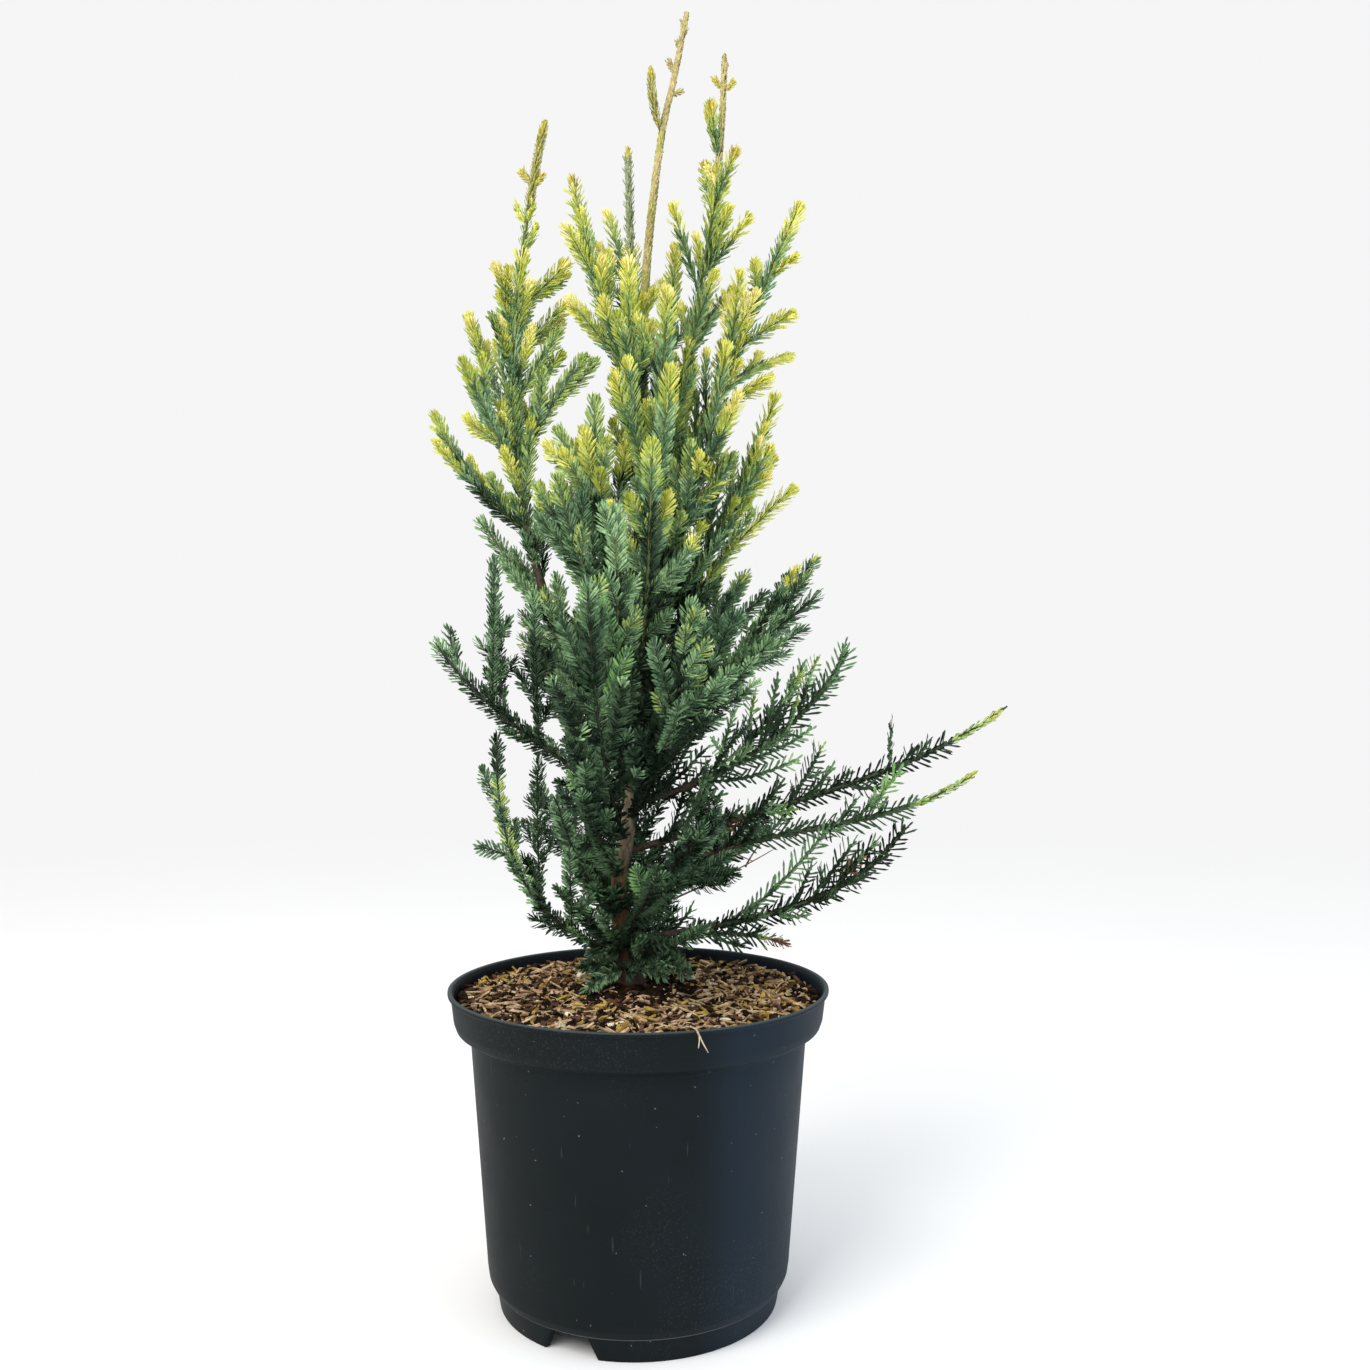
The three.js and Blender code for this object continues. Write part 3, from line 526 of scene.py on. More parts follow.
# Small clubs on the leaders: their stem, height, side, lean, length, needle, colour and tip's colour
BUDS = (
    ("trunk", 716, -1, 34, 9, 4.4, "tan", "tan"),
    ("trunk", 703, 1, 78, 8, 3.8, "tan", "tan"),
    ("trunk", 742, -1, 16, 5, 3.2, "tan", "tan"),
    ("trunk", 737, 1, 30, 6, 3.2, "tan", "tan"),
    ("trunk", 730, -1, 20, 6, 3.0, "tan", "tan"),
    ("trunk", 664, 1, 22, 6, 3.0, "tan", "tan"),
    ("right_leader", 706, -1, 48, 9, 4.4, "tan", "amber"),
    ("right_leader", 705, 1, 54, 9, 4.0, "tan", "amber"),
    ("right_leader", 716, 1, 18, 6, 3.4, "tan", "tan"),
    ("right_leader", 690, 1, 14, 6, 3.2, "tan", "tan"),
    ("right_leader", 667, -1, 17, 30, 6.2, "leaf", "amber"),
    ("right_leader", 639, 1, 8, 24, 8.6, "leaf", "lime"),
    ("right_leader", 640, 1, 2, 21, 7.4, "lime", "amber"),
    ("right_leader", 652, -1, 44, 11, 6.0, "lime", "cream"),
    ("left_leader", 668, 1, 8, 14, 4.6, "olive", "olive"),
    ("left_leader", 652, -1, 52, 11, 5.6, "olive", "amber"),
    ("left_leader", 650, 1, 46, 10, 5.4, "olive", "amber"),
    ("left_leader", 628, -1, 36, 13, 8.0, "lime", "gold"),
    ("left_leader", 628, 1, 22, 13, 8.0, "lime", "gold"),
    ("left_leader", 612, 1, 34, 18, 7.4, "leaf", "gold"),
)

# Bare dead twigs low on the right, and a split straw that hangs over the pot's lip
BARE_TWIGS = (
    ((16, 2, 240), (47, 0, 256), (70, 0, 268)),
    ((52, 0, 258), (60, -3, 254), (66, -4, 252)),
    ((20, -4, 230), (56, -2, 245), (78, 0, 258)),
    ((62, -1, 248), (66, 2, 256), (72, 3, 262)),
)
LIP_STRAW = (
    ((25, -94, 178.5), (30, -101.5, 181), (33, -106, 180.2), (34, -107.4, 177), (33.5, -107.6, 172)),
    ((33, -106, 180), (34.5, -106.8, 177), (36, -106.9, 174), (38.5, -106.6, 169.5)),
)


def region_of(name):
    """The region of the crown that a limb's needles are joined in."""
    if name in LONG_BOUGHS:
        return "long"
    first = name.split("_")[0]
    return first if first in REGIONS else "middle"


def off_trunk(path):
    """Whether a twig's outer half keeps off the trunk."""
    for share in (0.5, 0.75, 1):
        point = path.at(path.length * share)[0]
        height = min(TREE_TOP, max(point.z, TRUNK_FOOT))
        if (point - trunk_at(height)).xy.length < trunk_radius(height) + TRUNK_ROOM:
            return False
    return True


def hides_trunk(path):
    """Whether a twig crosses the gap in the front of the crown, where the trunk shows."""
    middle, half_width, foot, top, depth = TRUNK_GAP
    for share in (0.3, 0.6, 0.9):
        x, y, z = path.at(path.length * share)[0]
        if y < depth and abs(x - middle) < half_width and foot < z < top:
            return True
    return False


def shortest_at(height):
    """The shortest side twig that is drawn at a height: twigs are fewer and longer higher up."""
    if height > TOP_TWIGS_FROM:
        return SHORTEST_TOP_TWIG
    share = share_between(height, LOW_TWIGS_TO, HIGH_TWIGS_FROM)
    return SHORTEST_LOW_TWIG + (SHORTEST_HIGH_TWIG - SHORTEST_LOW_TWIG) * share


def bough_twigs(limb, path, bough_end, seed):
    """Twigs on a limb's bare bough."""
    reach = bough_end + TWIG_TIP_ROOM
    inner = Path([path.at(reach * i / BOUGH_STEPS)[0] for i in range(BOUGH_STEPS + 1)])
    inner.side = path.side
    if limb.name in RISING_BOUGHS:
        return twigs_on(inner, BOUGH_TWIG_FROM, RISING_TWIG, seed, RISING_TWIG_SPACING, RISING_LAY)
    if region_of(limb.name) == "long":
        return twigs_on(inner, 2 * BOUGH_TWIG_FROM, limb.twig, seed, LONG_BOUGH_SPACING)
    return twigs_on(inner, BOUGH_TWIG_FROM, BOUGH_TWIG_SHARE * limb.twig, seed, BOUGH_TWIG_SPACING, BOUGH_LAY)


def limb_shoots(limb, path, bough_end, first_seed):
    """A limb's own shoot, its forks, and the side twigs of each."""
    region = region_of(limb.name)
    start = bough_end + 1 if limb.bare else INNER_START
    shoots = [Shoot(path, start, region, limb.girth, first_seed, 0, limb.name)]
    hosts = [(path, bough_end + 1 if limb.bare else NAKED_START, limb.twig, first_seed)]
    for i, (share, tip, lift, twig) in enumerate(limb.forks):
        fork = limb_path(path.at(path.length * share)[0], tip, lift, FORK_ELBOW)
        shoots.append(Shoot(fork, FORK_NAKED / 2, region, FORK_RADIUS, first_seed + i + 1, 1))
        hosts.append((fork, FORK_NAKED, twig, first_seed + i + 1))
    sparse = region == "long" or limb.height > SPARSE_ABOVE
    fill_spacing = FILL_SPACING * (2 if sparse else 1)
    for host, begin, longest, seed in hosts:
        twigs = twigs_on(host, begin, longest, seed)
        if limb.name not in OPEN_LIMBS:
            fill_start = min(begin, FILL_START)
            twigs += twigs_on(host, fill_start, longest * FILL_SHARE, seed + 40, fill_spacing, FILL_LAY, True)
        if host is path and limb.bare:
            twigs += bough_twigs(limb, path, bough_end, seed + 90)
        for i, twig in enumerate(twigs):
            if twig.length > shortest_at(twig.points[0].z) and off_trunk(twig) and not hides_trunk(twig):
                shoots.append(Shoot(twig, TWIG_NAKED / 4, region, TWIG_RADIUS, 7 * seed + i, 2))
    return shoots


def trunk_shoots(first_seed, low, high, longest, turns, spacing, lay):
    """Twigs on a stretch of the trunk itself, in so many directions."""
    shoots = []
    spine = Path([point for point in trunk.points if low - 4 < point.z < high + TWIG_TIP_ROOM])
    for turn in range(turns):
        bearing = math.radians(180 * (turn + 0.4) / turns)
        spine.side = Vector((math.cos(bearing), math.sin(bearing), 0))
        seed = first_seed + turn
        for i, twig in enumerate(twigs_on(spine, 0, longest, seed, spacing, lay)):
            if not hides_trunk(twig):
                shoots.append(Shoot(twig, TWIG_NAKED / 2, "middle", TWIG_RADIUS, 7 * seed + i, 2))
    return shoots


def bud_shoot(host, seed, height, side, lean, length, *club):
    """A small club of needles on a leader, leaning to one side of it."""
    place = next(run for run in range(int(host.length)) if host.at(run)[0].z >= height - BUD_FOOT)
    point, heading, _ = host.at(place)
    turn = math.radians(lean) * side
    course = Vector((math.sin(turn), 0, math.cos(turn)))
    bend = point + course * (length * 0.6)
    path = bent_path(point, bend, bend + (course + heading).normalized() * (length * 0.4))
    return Shoot(path, 1, "middle", BUD_RADIUS, seed, 3, "", club)


def grow():
    """All shoots and boughs of the tree, by the growth rule."""
    shoots, boughs, stems = [], [], {"trunk": trunk}
    for number, limb in enumerate(LIMBS):
        path = limb_path(trunk_at(limb.height), limb.tip, limb.lift, limb.elbow, SAGS.get(limb.name, NO_SAG))
        stems[limb.name] = path
        bough_end = path.length * limb.bare
        boughs.append((limb, path, bough_end))
        shoots += limb_shoots(limb, path, bough_end, 100 * (number + 1))
    for group, stretch in enumerate(TRUNK_TWIGS):
        shoots += trunk_shoots(5000 + 100 * group, *stretch)
    for number, (stem, *sizes) in enumerate(BUDS):
        shoots.append(bud_shoot(stems[stem], 9000 + number, *sizes))
    return shoots, boughs


# Needle colours by spray, from the shaded inside of the crown out to its newest tips. Shade is painted shade,
# and deep is partly the older needles' own dark green, partly painted shade.
NEEDLE_COLOURS = {
    "shade": ((0.005, 0.013, 0.006), (0.016, 0.031, 0.016)),
    "deep": ((0.021, 0.046, 0.023), (0.066, 0.112, 0.061)),
    "green": ((0.044, 0.102, 0.046), (0.200, 0.328, 0.168)),
    "blue": ((0.110, 0.222, 0.092), (0.410, 0.590, 0.296)),
    "leaf": ((0.170, 0.272, 0.058), (0.490, 0.600, 0.196)),
    "bright": ((0.120, 0.270, 0.080), (0.260, 0.430, 0.160)),
    "sage": ((0.190, 0.230, 0.110), (0.400, 0.440, 0.250)),
    "olive": ((0.230, 0.225, 0.045), (0.480, 0.450, 0.140)),
    "lime": ((0.300, 0.355, 0.038), (0.560, 0.600, 0.120)),
    "gold": ((0.540, 0.545, 0.075), (0.850, 0.815, 0.230)),
    "cream": ((0.720, 0.640, 0.170), (0.940, 0.870, 0.360)),
    "amber": ((0.380, 0.325, 0.040), (0.650, 0.570, 0.130)),
    "tan": ((0.300, 0.250, 0.090), (0.620, 0.530, 0.240)),
    "dead": ((0.130, 0.060, 0.035), (0.300, 0.150, 0.090)),
}
GREEN_SLOT = "green_needles"
GOLD_SLOT = "golden_needles"
GOLDEN = ("olive", "lime", "gold", "cream", "amber", "tan")
DENSE = ("tan", "amber", "sage", "olive")


# Slim ends of leading shoots: needle, lean, and colours up to distances from the tip
SLIM_ENDS = {
    "left_leader": (4.6, 30, ((9, "amber"), (52, "olive"), (78, "leaf"))),
    "right_leader": (3.8, 17, ((76, "tan"),)),
    "middle_top": (6.6, 32, ((7, "amber"), (62, "sage"))),
    "leader_shoot": (6.2, 27, ((7, "amber"), (60, "olive"))),
    "middle_leader": (9, 46, ((6, "amber"), (18, "gold"), (34, "lime"))),
    "right_long_upper": (4.6, 28, ((9, "lime"), (36, "leaf"))),
    "right_long_middle": (4.4, 26, ((9, "lime"), (46, "leaf"))),
    "right_foot": (6.0, 44, ((18, "dead"),)),
}

# Limbs paler than their neighbours: beyond which distance from the tip, and colours up to distances
PALER_LIMBS = {
    "left_base": (25, ((80, "leaf"), (105, "blue"))),
    "right_gold": (-1, ((48, "gold"), (75, "lime"))),
}
CLUB_TIP = 9
DEAD_TWIG_TO = 26
DEAD_SHARE = 0.05

# The crown's bands of colour, by the height that each starts at
LEADERS_FROM = 655
GOLDEN_FROM = 545
PALE_FROM = 450
FRESH_TIPS_FROM = 400
GREEN_FROM = 345
SKIRT_BELOW = 262
BAND_STRAY = 60
# How much lower the bands start on the right: the paler colours there are painted light.
PAINTED_LIGHT_LIFT_ON_RIGHT = 30
LONGER_TIPS_ON_RIGHT = 12


def dealt(number, *shares):
    """The colour that a number falls to. A share is a colour and the number that it ends at."""
    return next(colour for colour, end in shares if number < end)


def colour_up_to(to_tip, colours):
    """The first colour whose limit is farther from the tip, or none beyond them all."""
    return next((colour for limit, colour in colours if to_tip < limit), None)


def colour_of(shoot, to_tip, point, luck):
    """The colour of a spray at a place: by its own limb, or else by its place in the crown."""
    if shoot.club:
        return shoot.club[2] if to_tip < CLUB_TIP else shoot.club[1]
    if shoot.limb in SLIM_ENDS:
        colours = SLIM_ENDS[shoot.limb][2]
        slim_colour = colour_up_to(to_tip, colours)
        if slim_colour:
            return slim_colour
        to_tip -= colours[-1][0]
    is_short_twig = shoot.rank == 2 and shoot.path.length < DEAD_TWIG_TO
    if shoot.region == "long" and is_short_twig and luck[1] < DEAD_SHARE:
        return "dead"
    beyond, colours = PALER_LIMBS.get(shoot.limb, (0, ()))
    paler = colour_up_to(to_tip, colours) if to_tip > beyond else None
    return paler or crown_colour(shoot, to_tip, point, luck)


def crown_colour(shoot, to_tip, point, luck):
    """The colour at a place in the crown, darker inside and low down as painted shade. On the right the bands
    start lower, as painted light, and golden tips are longer.
    """
    height = point.z + BAND_STRAY * (luck[0] - 0.5)
    # Painted light: the right side is given the paler colours of higher bands.
    if point.x > 40 and point.z > 300:
        height += PAINTED_LIGHT_LIFT_ON_RIGHT
    inner = (point - trunk_at(max(point.z, TRUNK_FOOT))).xy.length
    if point.x > 50 and point.z > 500:
        to_tip -= LONGER_TIPS_ON_RIGHT
    if point.x > 66 and 425 < point.z < 500:
        height = GOLDEN_FROM + 1
    if point.z > LEADERS_FROM:
        return dealt(to_tip, ("amber", 5), ("lime", 15), ("leaf", math.inf))
    if height > GOLDEN_FROM:
        return golden_colour(to_tip, luck)
    if height > PALE_FROM:
        return pale_colour(to_tip, inner, luck)
    if height > FRESH_TIPS_FROM and inner > 16 and to_tip < 34:
        return dealt(luck[1], ("leaf", 0.12), ("blue", 0.62), ("green", 1))
    if height > GREEN_FROM:
        return green_colour(shoot, to_tip, inner, luck)
    if luck[2] < 0.025 and shoot.rank > 0:
        return "bright"
    if (point.z < SKIRT_BELOW and shoot.region != "long") or point.x < -34:
        return dealt(luck[1], ("deep", 0.6), ("green", 1))
    # Painted shade: near-black sprays inside the low crown, next to the trunk.
    if inner < 30:
        return dealt(luck[1], ("shade", 0.6), ("deep", 1))
    # Outer low sprays are dark: partly the older needles' own deeper green, partly painted shade.
    if to_tip < 8:
        return dealt(luck[1], ("leaf", 0.04), ("green", 0.5), ("deep", 1))
    return dealt(luck[2], ("shade", 0.35), ("deep", 0.8), ("green", 1))


def golden_colour(to_tip, luck):
    """Near the top: cream and gold tips, lime behind them, and pale green inside."""
    if to_tip < 4:
        return dealt(luck[1], ("cream", 0.35), ("gold", 1))
    if to_tip < 9 + 7 * luck[2]:
        return dealt(luck[1], ("gold", 0.75), ("lime", 1))
    if to_tip < 22 + 12 * luck[2]:
        return dealt(luck[1], ("lime", 0.4), ("leaf", 1))
    return dealt(luck[2], ("leaf", 0.35), ("blue", 1))


def pale_colour(to_tip, inner, luck):
    """Under the golden band: tips from gold to leaf green, on blue-green, darker inside as painted shade."""
    if to_tip < 8 + 6 * luck[2]:
        return dealt(luck[1], ("gold", 0.36), ("lime", 0.7), ("leaf", 1))
    if to_tip < 18 + 8 * luck[2]:
        return dealt(luck[1], ("lime", 0.3), ("leaf", 1))
    # Painted shade: darker sprays inside, near the trunk.
    if inner < 20:
        return dealt(luck[2], ("green", 0.7), ("deep", 1))
    return dealt(luck[2], ("leaf", 0.2), ("blue", 0.75), ("green", 1))


def green_colour(shoot, to_tip, inner, luck):
    """In the middle of the crown: blue-green tips, and dark sprays inside, painted shade."""
    if luck[2] < 0.06 and shoot.rank > 0:
        return "bright"
    # Painted shade: near-black and deep green sprays near the trunk.
    if inner < 28:
        return dealt(luck[2], ("shade", 0.4), ("deep", 1))
    if to_tip < 10:
        return dealt(luck[1], ("leaf", 0.2), ("blue", 0.72), ("green", 1))
    if to_tip < 24:
        return dealt(luck[1], ("blue", 0.35), ("green", 1))
    return dealt(luck[2], ("green", 0.35), ("deep", 1))


# Needles along a shoot
SAMPLE_STEP = 3
CLUB = 6
CLUB_MARKS = (6, 4.2, 2.6, 1.2, 0)
TYPICAL_NEEDLE = 8
CLUB_LEAN = 34
ALL_ROUND = 84
LEAST_ROOM = 0.5

# Needles' length, lean, spread and width: on long boughs, on their twigs, low in the crown, and gained up it
LONG_BOUGH_NEEDLES = (10.4, 47, 14, 1.5)
LONG_TWIG_NEEDLES = (8, 47, 14, 1.5)
LOW_NEEDLES = (7.2, 56, 24, 1.45)
UPWARD_GAIN = (2.6, -19, 10, -0.15)
GAIN_FROM = 300
GAIN_TO = 520
FLATTER_ON_RIGHT = 10


def room_for(point, heading, lean):
    """The longest needle at a lean in degrees that stays within the solids' own limits."""
    along, aside = math.cos(math.radians(lean)), math.sin(math.radians(lean))
    longest = 100
    for k in range(3):
        across = aside * math.sqrt(max(0, 1 - heading[k] ** 2))
        for limit, way in ((cad_low[k] / MM, -1), (cad_high[k] / MM, 1)):
            reach = across + way * along * heading[k]
            if reach > 0.05:
                longest = min(longest, (way * (limit - point[k]) - BOX_ROOM) / reach)
    return max(LEAST_ROOM, longest)


def tip_in_box(path, needle):
    """How far along a path needles may start, so that there is room for them."""
    end = path.length - 0.5 * needle
    while end > 2 and room_for(*path.at(end)[:2], 20) < 0.9 * needle:
        end -= 1
    return end


def facing(shoot, point, heading):
    """The way across a shoot, that its flat fans of needles lie along: they face out of the crown."""
    outward = point - trunk_at(min(TREE_TOP, max(point.z, TRUNK_FOOT)))
    outward.z = 0
    if outward.length > 1:
        outward.normalize()
    front = Vector((0, -1 if point.y < 8 else 1, 0))
    stray = shoot.seed % 7 / 7 - 0.4
    across = heading.cross(outward + front + Vector((stray, 0, 0)))
    return across.normalized() if across.length > 0.1 else shoot.path.side


def needle_values(heading, across, length, lean, spread, width, girth, turn):
    """A mark's values for the needle recipe, in metres and radians."""
    return {
        "heading": heading,
        "across": across,
        "needle": length * MM,
        "width": width * MM,
        "lean": math.radians(lean),
        "spread": math.radians(spread),
        "roll": math.radians(spread + 25 * turn),
        "girth": girth * MM,
    }


def brush_marks(shoot, turn):
    """Marks along a shoot: each one's distance from the tip, its point and its needles' values."""
    slim_needle, slim_lean, slim_colours = SLIM_ENDS.get(shoot.limb, (0, 0, ((0, ""),)))
    far = shoot.region == "long"
    end = max(shoot.start + 2, tip_in_box(shoot.path, shoot.club[0] if shoot.club else TYPICAL_NEEDLE))
    run = end - shoot.start - CLUB
    count = max(2, math.ceil(run / SAMPLE_STEP))
    places = [shoot.start + run * i / count for i in range(count)]
    places += [end - to_tip for to_tip in CLUB_MARKS]
    marks = []
    for distance in places:
        if distance < shoot.start:
            continue
        point, heading, upper = shoot.path.at(distance)
        share = (distance - shoot.start) / (end - shoot.start)
        to_tip = end - distance
        high = share_between(point.z, GAIN_FROM, GAIN_TO)
        length, lean, spread, width = (low + gain * high for low, gain in zip(LOW_NEEDLES, UPWARD_GAIN))
        spread -= FLATTER_ON_RIGHT * share_between(point.x, 40, 90) * (1 - high)
        if far:
            length, lean, spread, width = LONG_BOUGH_NEEDLES if shoot.rank < 2 else LONG_TWIG_NEEDLES
        if to_tip < slim_colours[-1][0]:
            length, lean, spread = slim_needle, slim_lean, ALL_ROUND
        length *= min(1, 0.6 + 2.2 * share)
        length *= 1 - 0.2 * max(0, 1 - to_tip / CLUB)
        lean *= math.sqrt(min(1, (to_tip + 0.2) / CLUB))
        if shoot.club:
            length, lean, spread = shoot.club[0] * (0.7 + 0.3 * share), CLUB_LEAN, ALL_ROUND
        length = min(length, room_for(point, heading, lean))
        girth = 0.7 * shoot.radius * (1 - 0.5 * share)
        across = (shoot.path.side * 0.45 + upper).normalized() if far else facing(shoot, point, heading)
        values = needle_values(heading, across, length, lean, spread, width, girth, turn)
        marks.append((to_tip, point, values))
    return marks


# Objects and nodes
class Lines:
    """Lines of points that carry named sizes, for a recipe of nodes to follow."""

    def __init__(self, names):
        self.points = []
        self.edges = []
        self.values = {name: [] for name in names}

    def add(self, rows):
        """One line. Each row is a point in millimetres and its values by name."""
        first = len(self.points)
        for i, (point, values) in enumerate(rows):
            self.points.append(point * MM)
            for name, value in values.items():
                self.values[name].append(value)
            if i:
                self.edges.append((first + i - 1, first + i))

    def as_object(self, name):
        mesh = bpy.data.meshes.new(name)
        mesh.from_pydata(self.points, self.edges, [])
        for key, values in self.values.items():
            is_vector = isinstance(values[0], Vector)
            layer = mesh.attributes.new(key, "FLOAT_VECTOR" if is_vector else "FLOAT", "POINT")
            if is_vector:
                layer.data.foreach_set("vector", [number for value in values for number in value])
            else:
                layer.data.foreach_set("value", values)
        return add_object(name, mesh)


def add_object(name, mesh):
    added = bpy.data.objects.new(name, mesh)
    bpy.context.scene.collection.objects.link(added)
    return added


class Nodes:
    """A tree of nodes, made a step at a time."""

    def __init__(self, tree):
        self.tree = tree

    def step(self, kind, links, **settings):
        """A node with its settings. Links are values or other nodes' outputs, by socket name or number."""
        node = self.tree.nodes.new(kind)
        for key, value in settings.items():
            setattr(node, key, value)
        for key, value in links.items():
            if isinstance(value, bpy.types.NodeSocket):
                self.tree.links.new(value, node.inputs[key])
            else:
                node.inputs[key].default_value = value
        return node.outputs

    def maths(self, operation, first, second=0.0):
        return self.step("ShaderNodeMath", {0: first, 1: second}, operation=operation)[0]

    def plus(self, first, second):
        return self.maths("ADD", first, second)

    def times(self, first, second):
        return self.maths("MULTIPLY", first, second)


class Recipe(Nodes):
    """A tree of geometry nodes with named inputs."""

    def __init__(self, name, **inputs):
        super().__init__(bpy.data.node_groups.new(name, "GeometryNodeTree"))
        face = self.tree.interface
        face.new_socket("Geometry", in_out="INPUT", socket_type="NodeSocketGeometry")
        for label, kind in inputs.items():
            face.new_socket(label.replace("_", " "), in_out="INPUT", socket_type="NodeSocket" + kind)
        face.new_socket("Geometry", in_out="OUTPUT", socket_type="NodeSocketGeometry")
        self.given = self.tree.nodes.new("NodeGroupInput").outputs
        self.result = self.tree.nodes.new("NodeGroupOutput").inputs["Geometry"]

    def named(self, name, data_type="FLOAT"):
        return self.step("GeometryNodeInputNamedAttribute", {"Name": name}, data_type=data_type)["Attribute"]

    def chance(self, low, high, salt):
        """A random number for each point, between low and high."""
        seed = self.step("FunctionNodeIntegerMath", {0: self.given["Seed"], 1: salt}, operation="ADD")[0]
        return self.step("FunctionNodeRandomValue", {2: low, 3: high, "Seed": seed}, data_type="FLOAT")[1]

    def turned(self, rotation, axis, angle):
        """A rotation, turned on about its own axis."""
        turn = self.step("FunctionNodeAxisAngleToRotation", {"Axis": axis, "Angle": angle})[0]
        links = {"Rotation": rotation, "Rotate By": turn}
        return self.step("FunctionNodeRotateRotation", links, rotation_space="LOCAL")[0]

    def vector(self, x, y, z):
        return self.step("ShaderNodeCombineXYZ", {"X": x, "Y": y, "Z": z})[0]

    def curve(self):
        """The given lines as curves."""
        return self.step("GeometryNodeMeshToCurve", {"Mesh": self.given["Geometry"]})[0]

    def tube(self, curve):
        """A closed tube along a curve, as thick as its points' girth."""
        links = {"Resolution": self.given["Sides"], "Radius": 1.0}
        ring = self.step("GeometryNodeCurvePrimitiveCircle", links)[0]
        links = {"Curve": curve, "Profile Curve": ring, "Scale": self.named("girth"), "Fill Caps": True}
        return self.step("GeometryNodeCurveToMesh", links)[0]

    def moved(self, geometry, offset):
        return self.step("GeometryNodeSetPosition", {"Geometry": geometry, "Offset": offset})[0]

    def smooth(self, tube):
        return self.step("GeometryNodeSetShadeSmooth", {"Geometry": tube})[0]

    def repeated(self, mould, points, rotation, scale):
        """A mould's shape on every point."""
        shape = self.step("GeometryNodeObjectInfo", {"Object": mould})["Geometry"]
        links = {"Points": points, "Instance": shape, "Rotation": rotation, "Scale": scale}
        return self.step("GeometryNodeInstanceOnPoints", links)[0]

    def finish(self, geometry):
        """Ends the tree: instances made real, and the material set."""
        real = self.step("GeometryNodeRealizeInstances", {"Geometry": geometry})[0]
        links = {"Geometry": real, "Material": self.given["Material"]}
        self.tree.links.new(self.step("GeometryNodeSetMaterial", links)[0], self.result)
        return self

    def make(self, name, source, **values):
        """A plain mesh object, made by this recipe from a source object, which is then removed."""
        modifier = source.modifiers.new(self.tree.name, "NODES")
        modifier.node_group = self.tree
        for item in self.tree.interface.items_tree:
            key = item.name.replace(" ", "_")
            if item.in_out == "INPUT" and key in values:
                modifier[item.identifier] = values[key]
        depsgraph = bpy.context.evaluated_depsgraph_get()
        mesh = bpy.data.meshes.new_from_object(source.evaluated_get(depsgraph), depsgraph=depsgraph)
        mesh.name = name
        bpy.data.objects.remove(source)
        for layer in [a.name for a in mesh.attributes if not a.is_required and not a.is_internal]:
            if layer not in ("sharp_face", "material_index"):
                mesh.attributes.remove(mesh.attributes[layer])
        return add_object(name, mesh)


# Recipes. This share of a turn, over and over, spreads needles evenly.
EVEN_TURN = 0.381966


def needle_recipe():
    """Needles on lines: two ranks with a spread, that stand on the stem's skin and lean to its tip."""
    inputs = {"Needle": "Object", "Spacing": "Float", "Stray": "Float", "Seed": "Int", "Material": "Material"}
    recipe = Recipe("needles on a shoot", **inputs)
    links = {"Curve": recipe.curve(), "Length": recipe.given["Spacing"]}
    points = recipe.step("GeometryNodeCurveToPoints", links, mode="LENGTH")[0]
    heading, across = (recipe.named(name, "FLOAT_VECTOR") for name in ("heading", "across"))
    links = {"Primary Axis": heading, "Secondary Axis": across}
    rotation = recipe.step("FunctionNodeAxesToRotation", links, primary_axis="Z", secondary_axis="X")[0]
    index = recipe.step("GeometryNodeInputIndex", {})[0]
    rank = recipe.times(recipe.maths("MODULO", index, 2.0), math.pi)
    even = recipe.maths("FRACT", recipe.times(index, EVEN_TURN))
    fan = recipe.maths("SUBTRACT", recipe.times(even, 2.0), 1.0)
    aside = recipe.times(recipe.plus(fan, recipe.chance(-0.12, 0.12, 1)), recipe.named("spread"))
    rotation = recipe.turned(rotation, (0, 0, 1), recipe.plus(rank, aside))
    skin = {"Vector": recipe.vector(recipe.named("girth"), 0.0, 0.0), "Rotation": rotation}
    points = recipe.moved(points, recipe.step("FunctionNodeRotateVector", skin)[0])
    stray = recipe.times(recipe.given["Stray"], recipe.chance(-1.0, 1.0, 2))
    rotation = recipe.turned(rotation, (0, 1, 0), recipe.times(recipe.named("lean"), recipe.plus(stray, 1.0)))
    roll = recipe.plus(recipe.named("roll"), recipe.chance(-0.5, 0.5, 3))
    rotation = recipe.turned(rotation, (0, 0, 1), roll)
    shorter = recipe.times(recipe.given["Stray"], recipe.chance(-1.4, 0.5, 4))
    length = recipe.times(recipe.named("needle"), recipe.plus(shorter, 1.0))
    width = recipe.times(recipe.named("width"), recipe.chance(0.85, 1.15, 5))
    size = recipe.vector(width, width, length)
    return recipe.finish(recipe.repeated(recipe.given["Needle"], points, rotation, size))


def stem_recipe():
    """Round tapering stems along lines."""
    recipe = Recipe("stems", Sides="Int", Material="Material")
    return recipe.finish(recipe.smooth(recipe.tube(recipe.curve())))


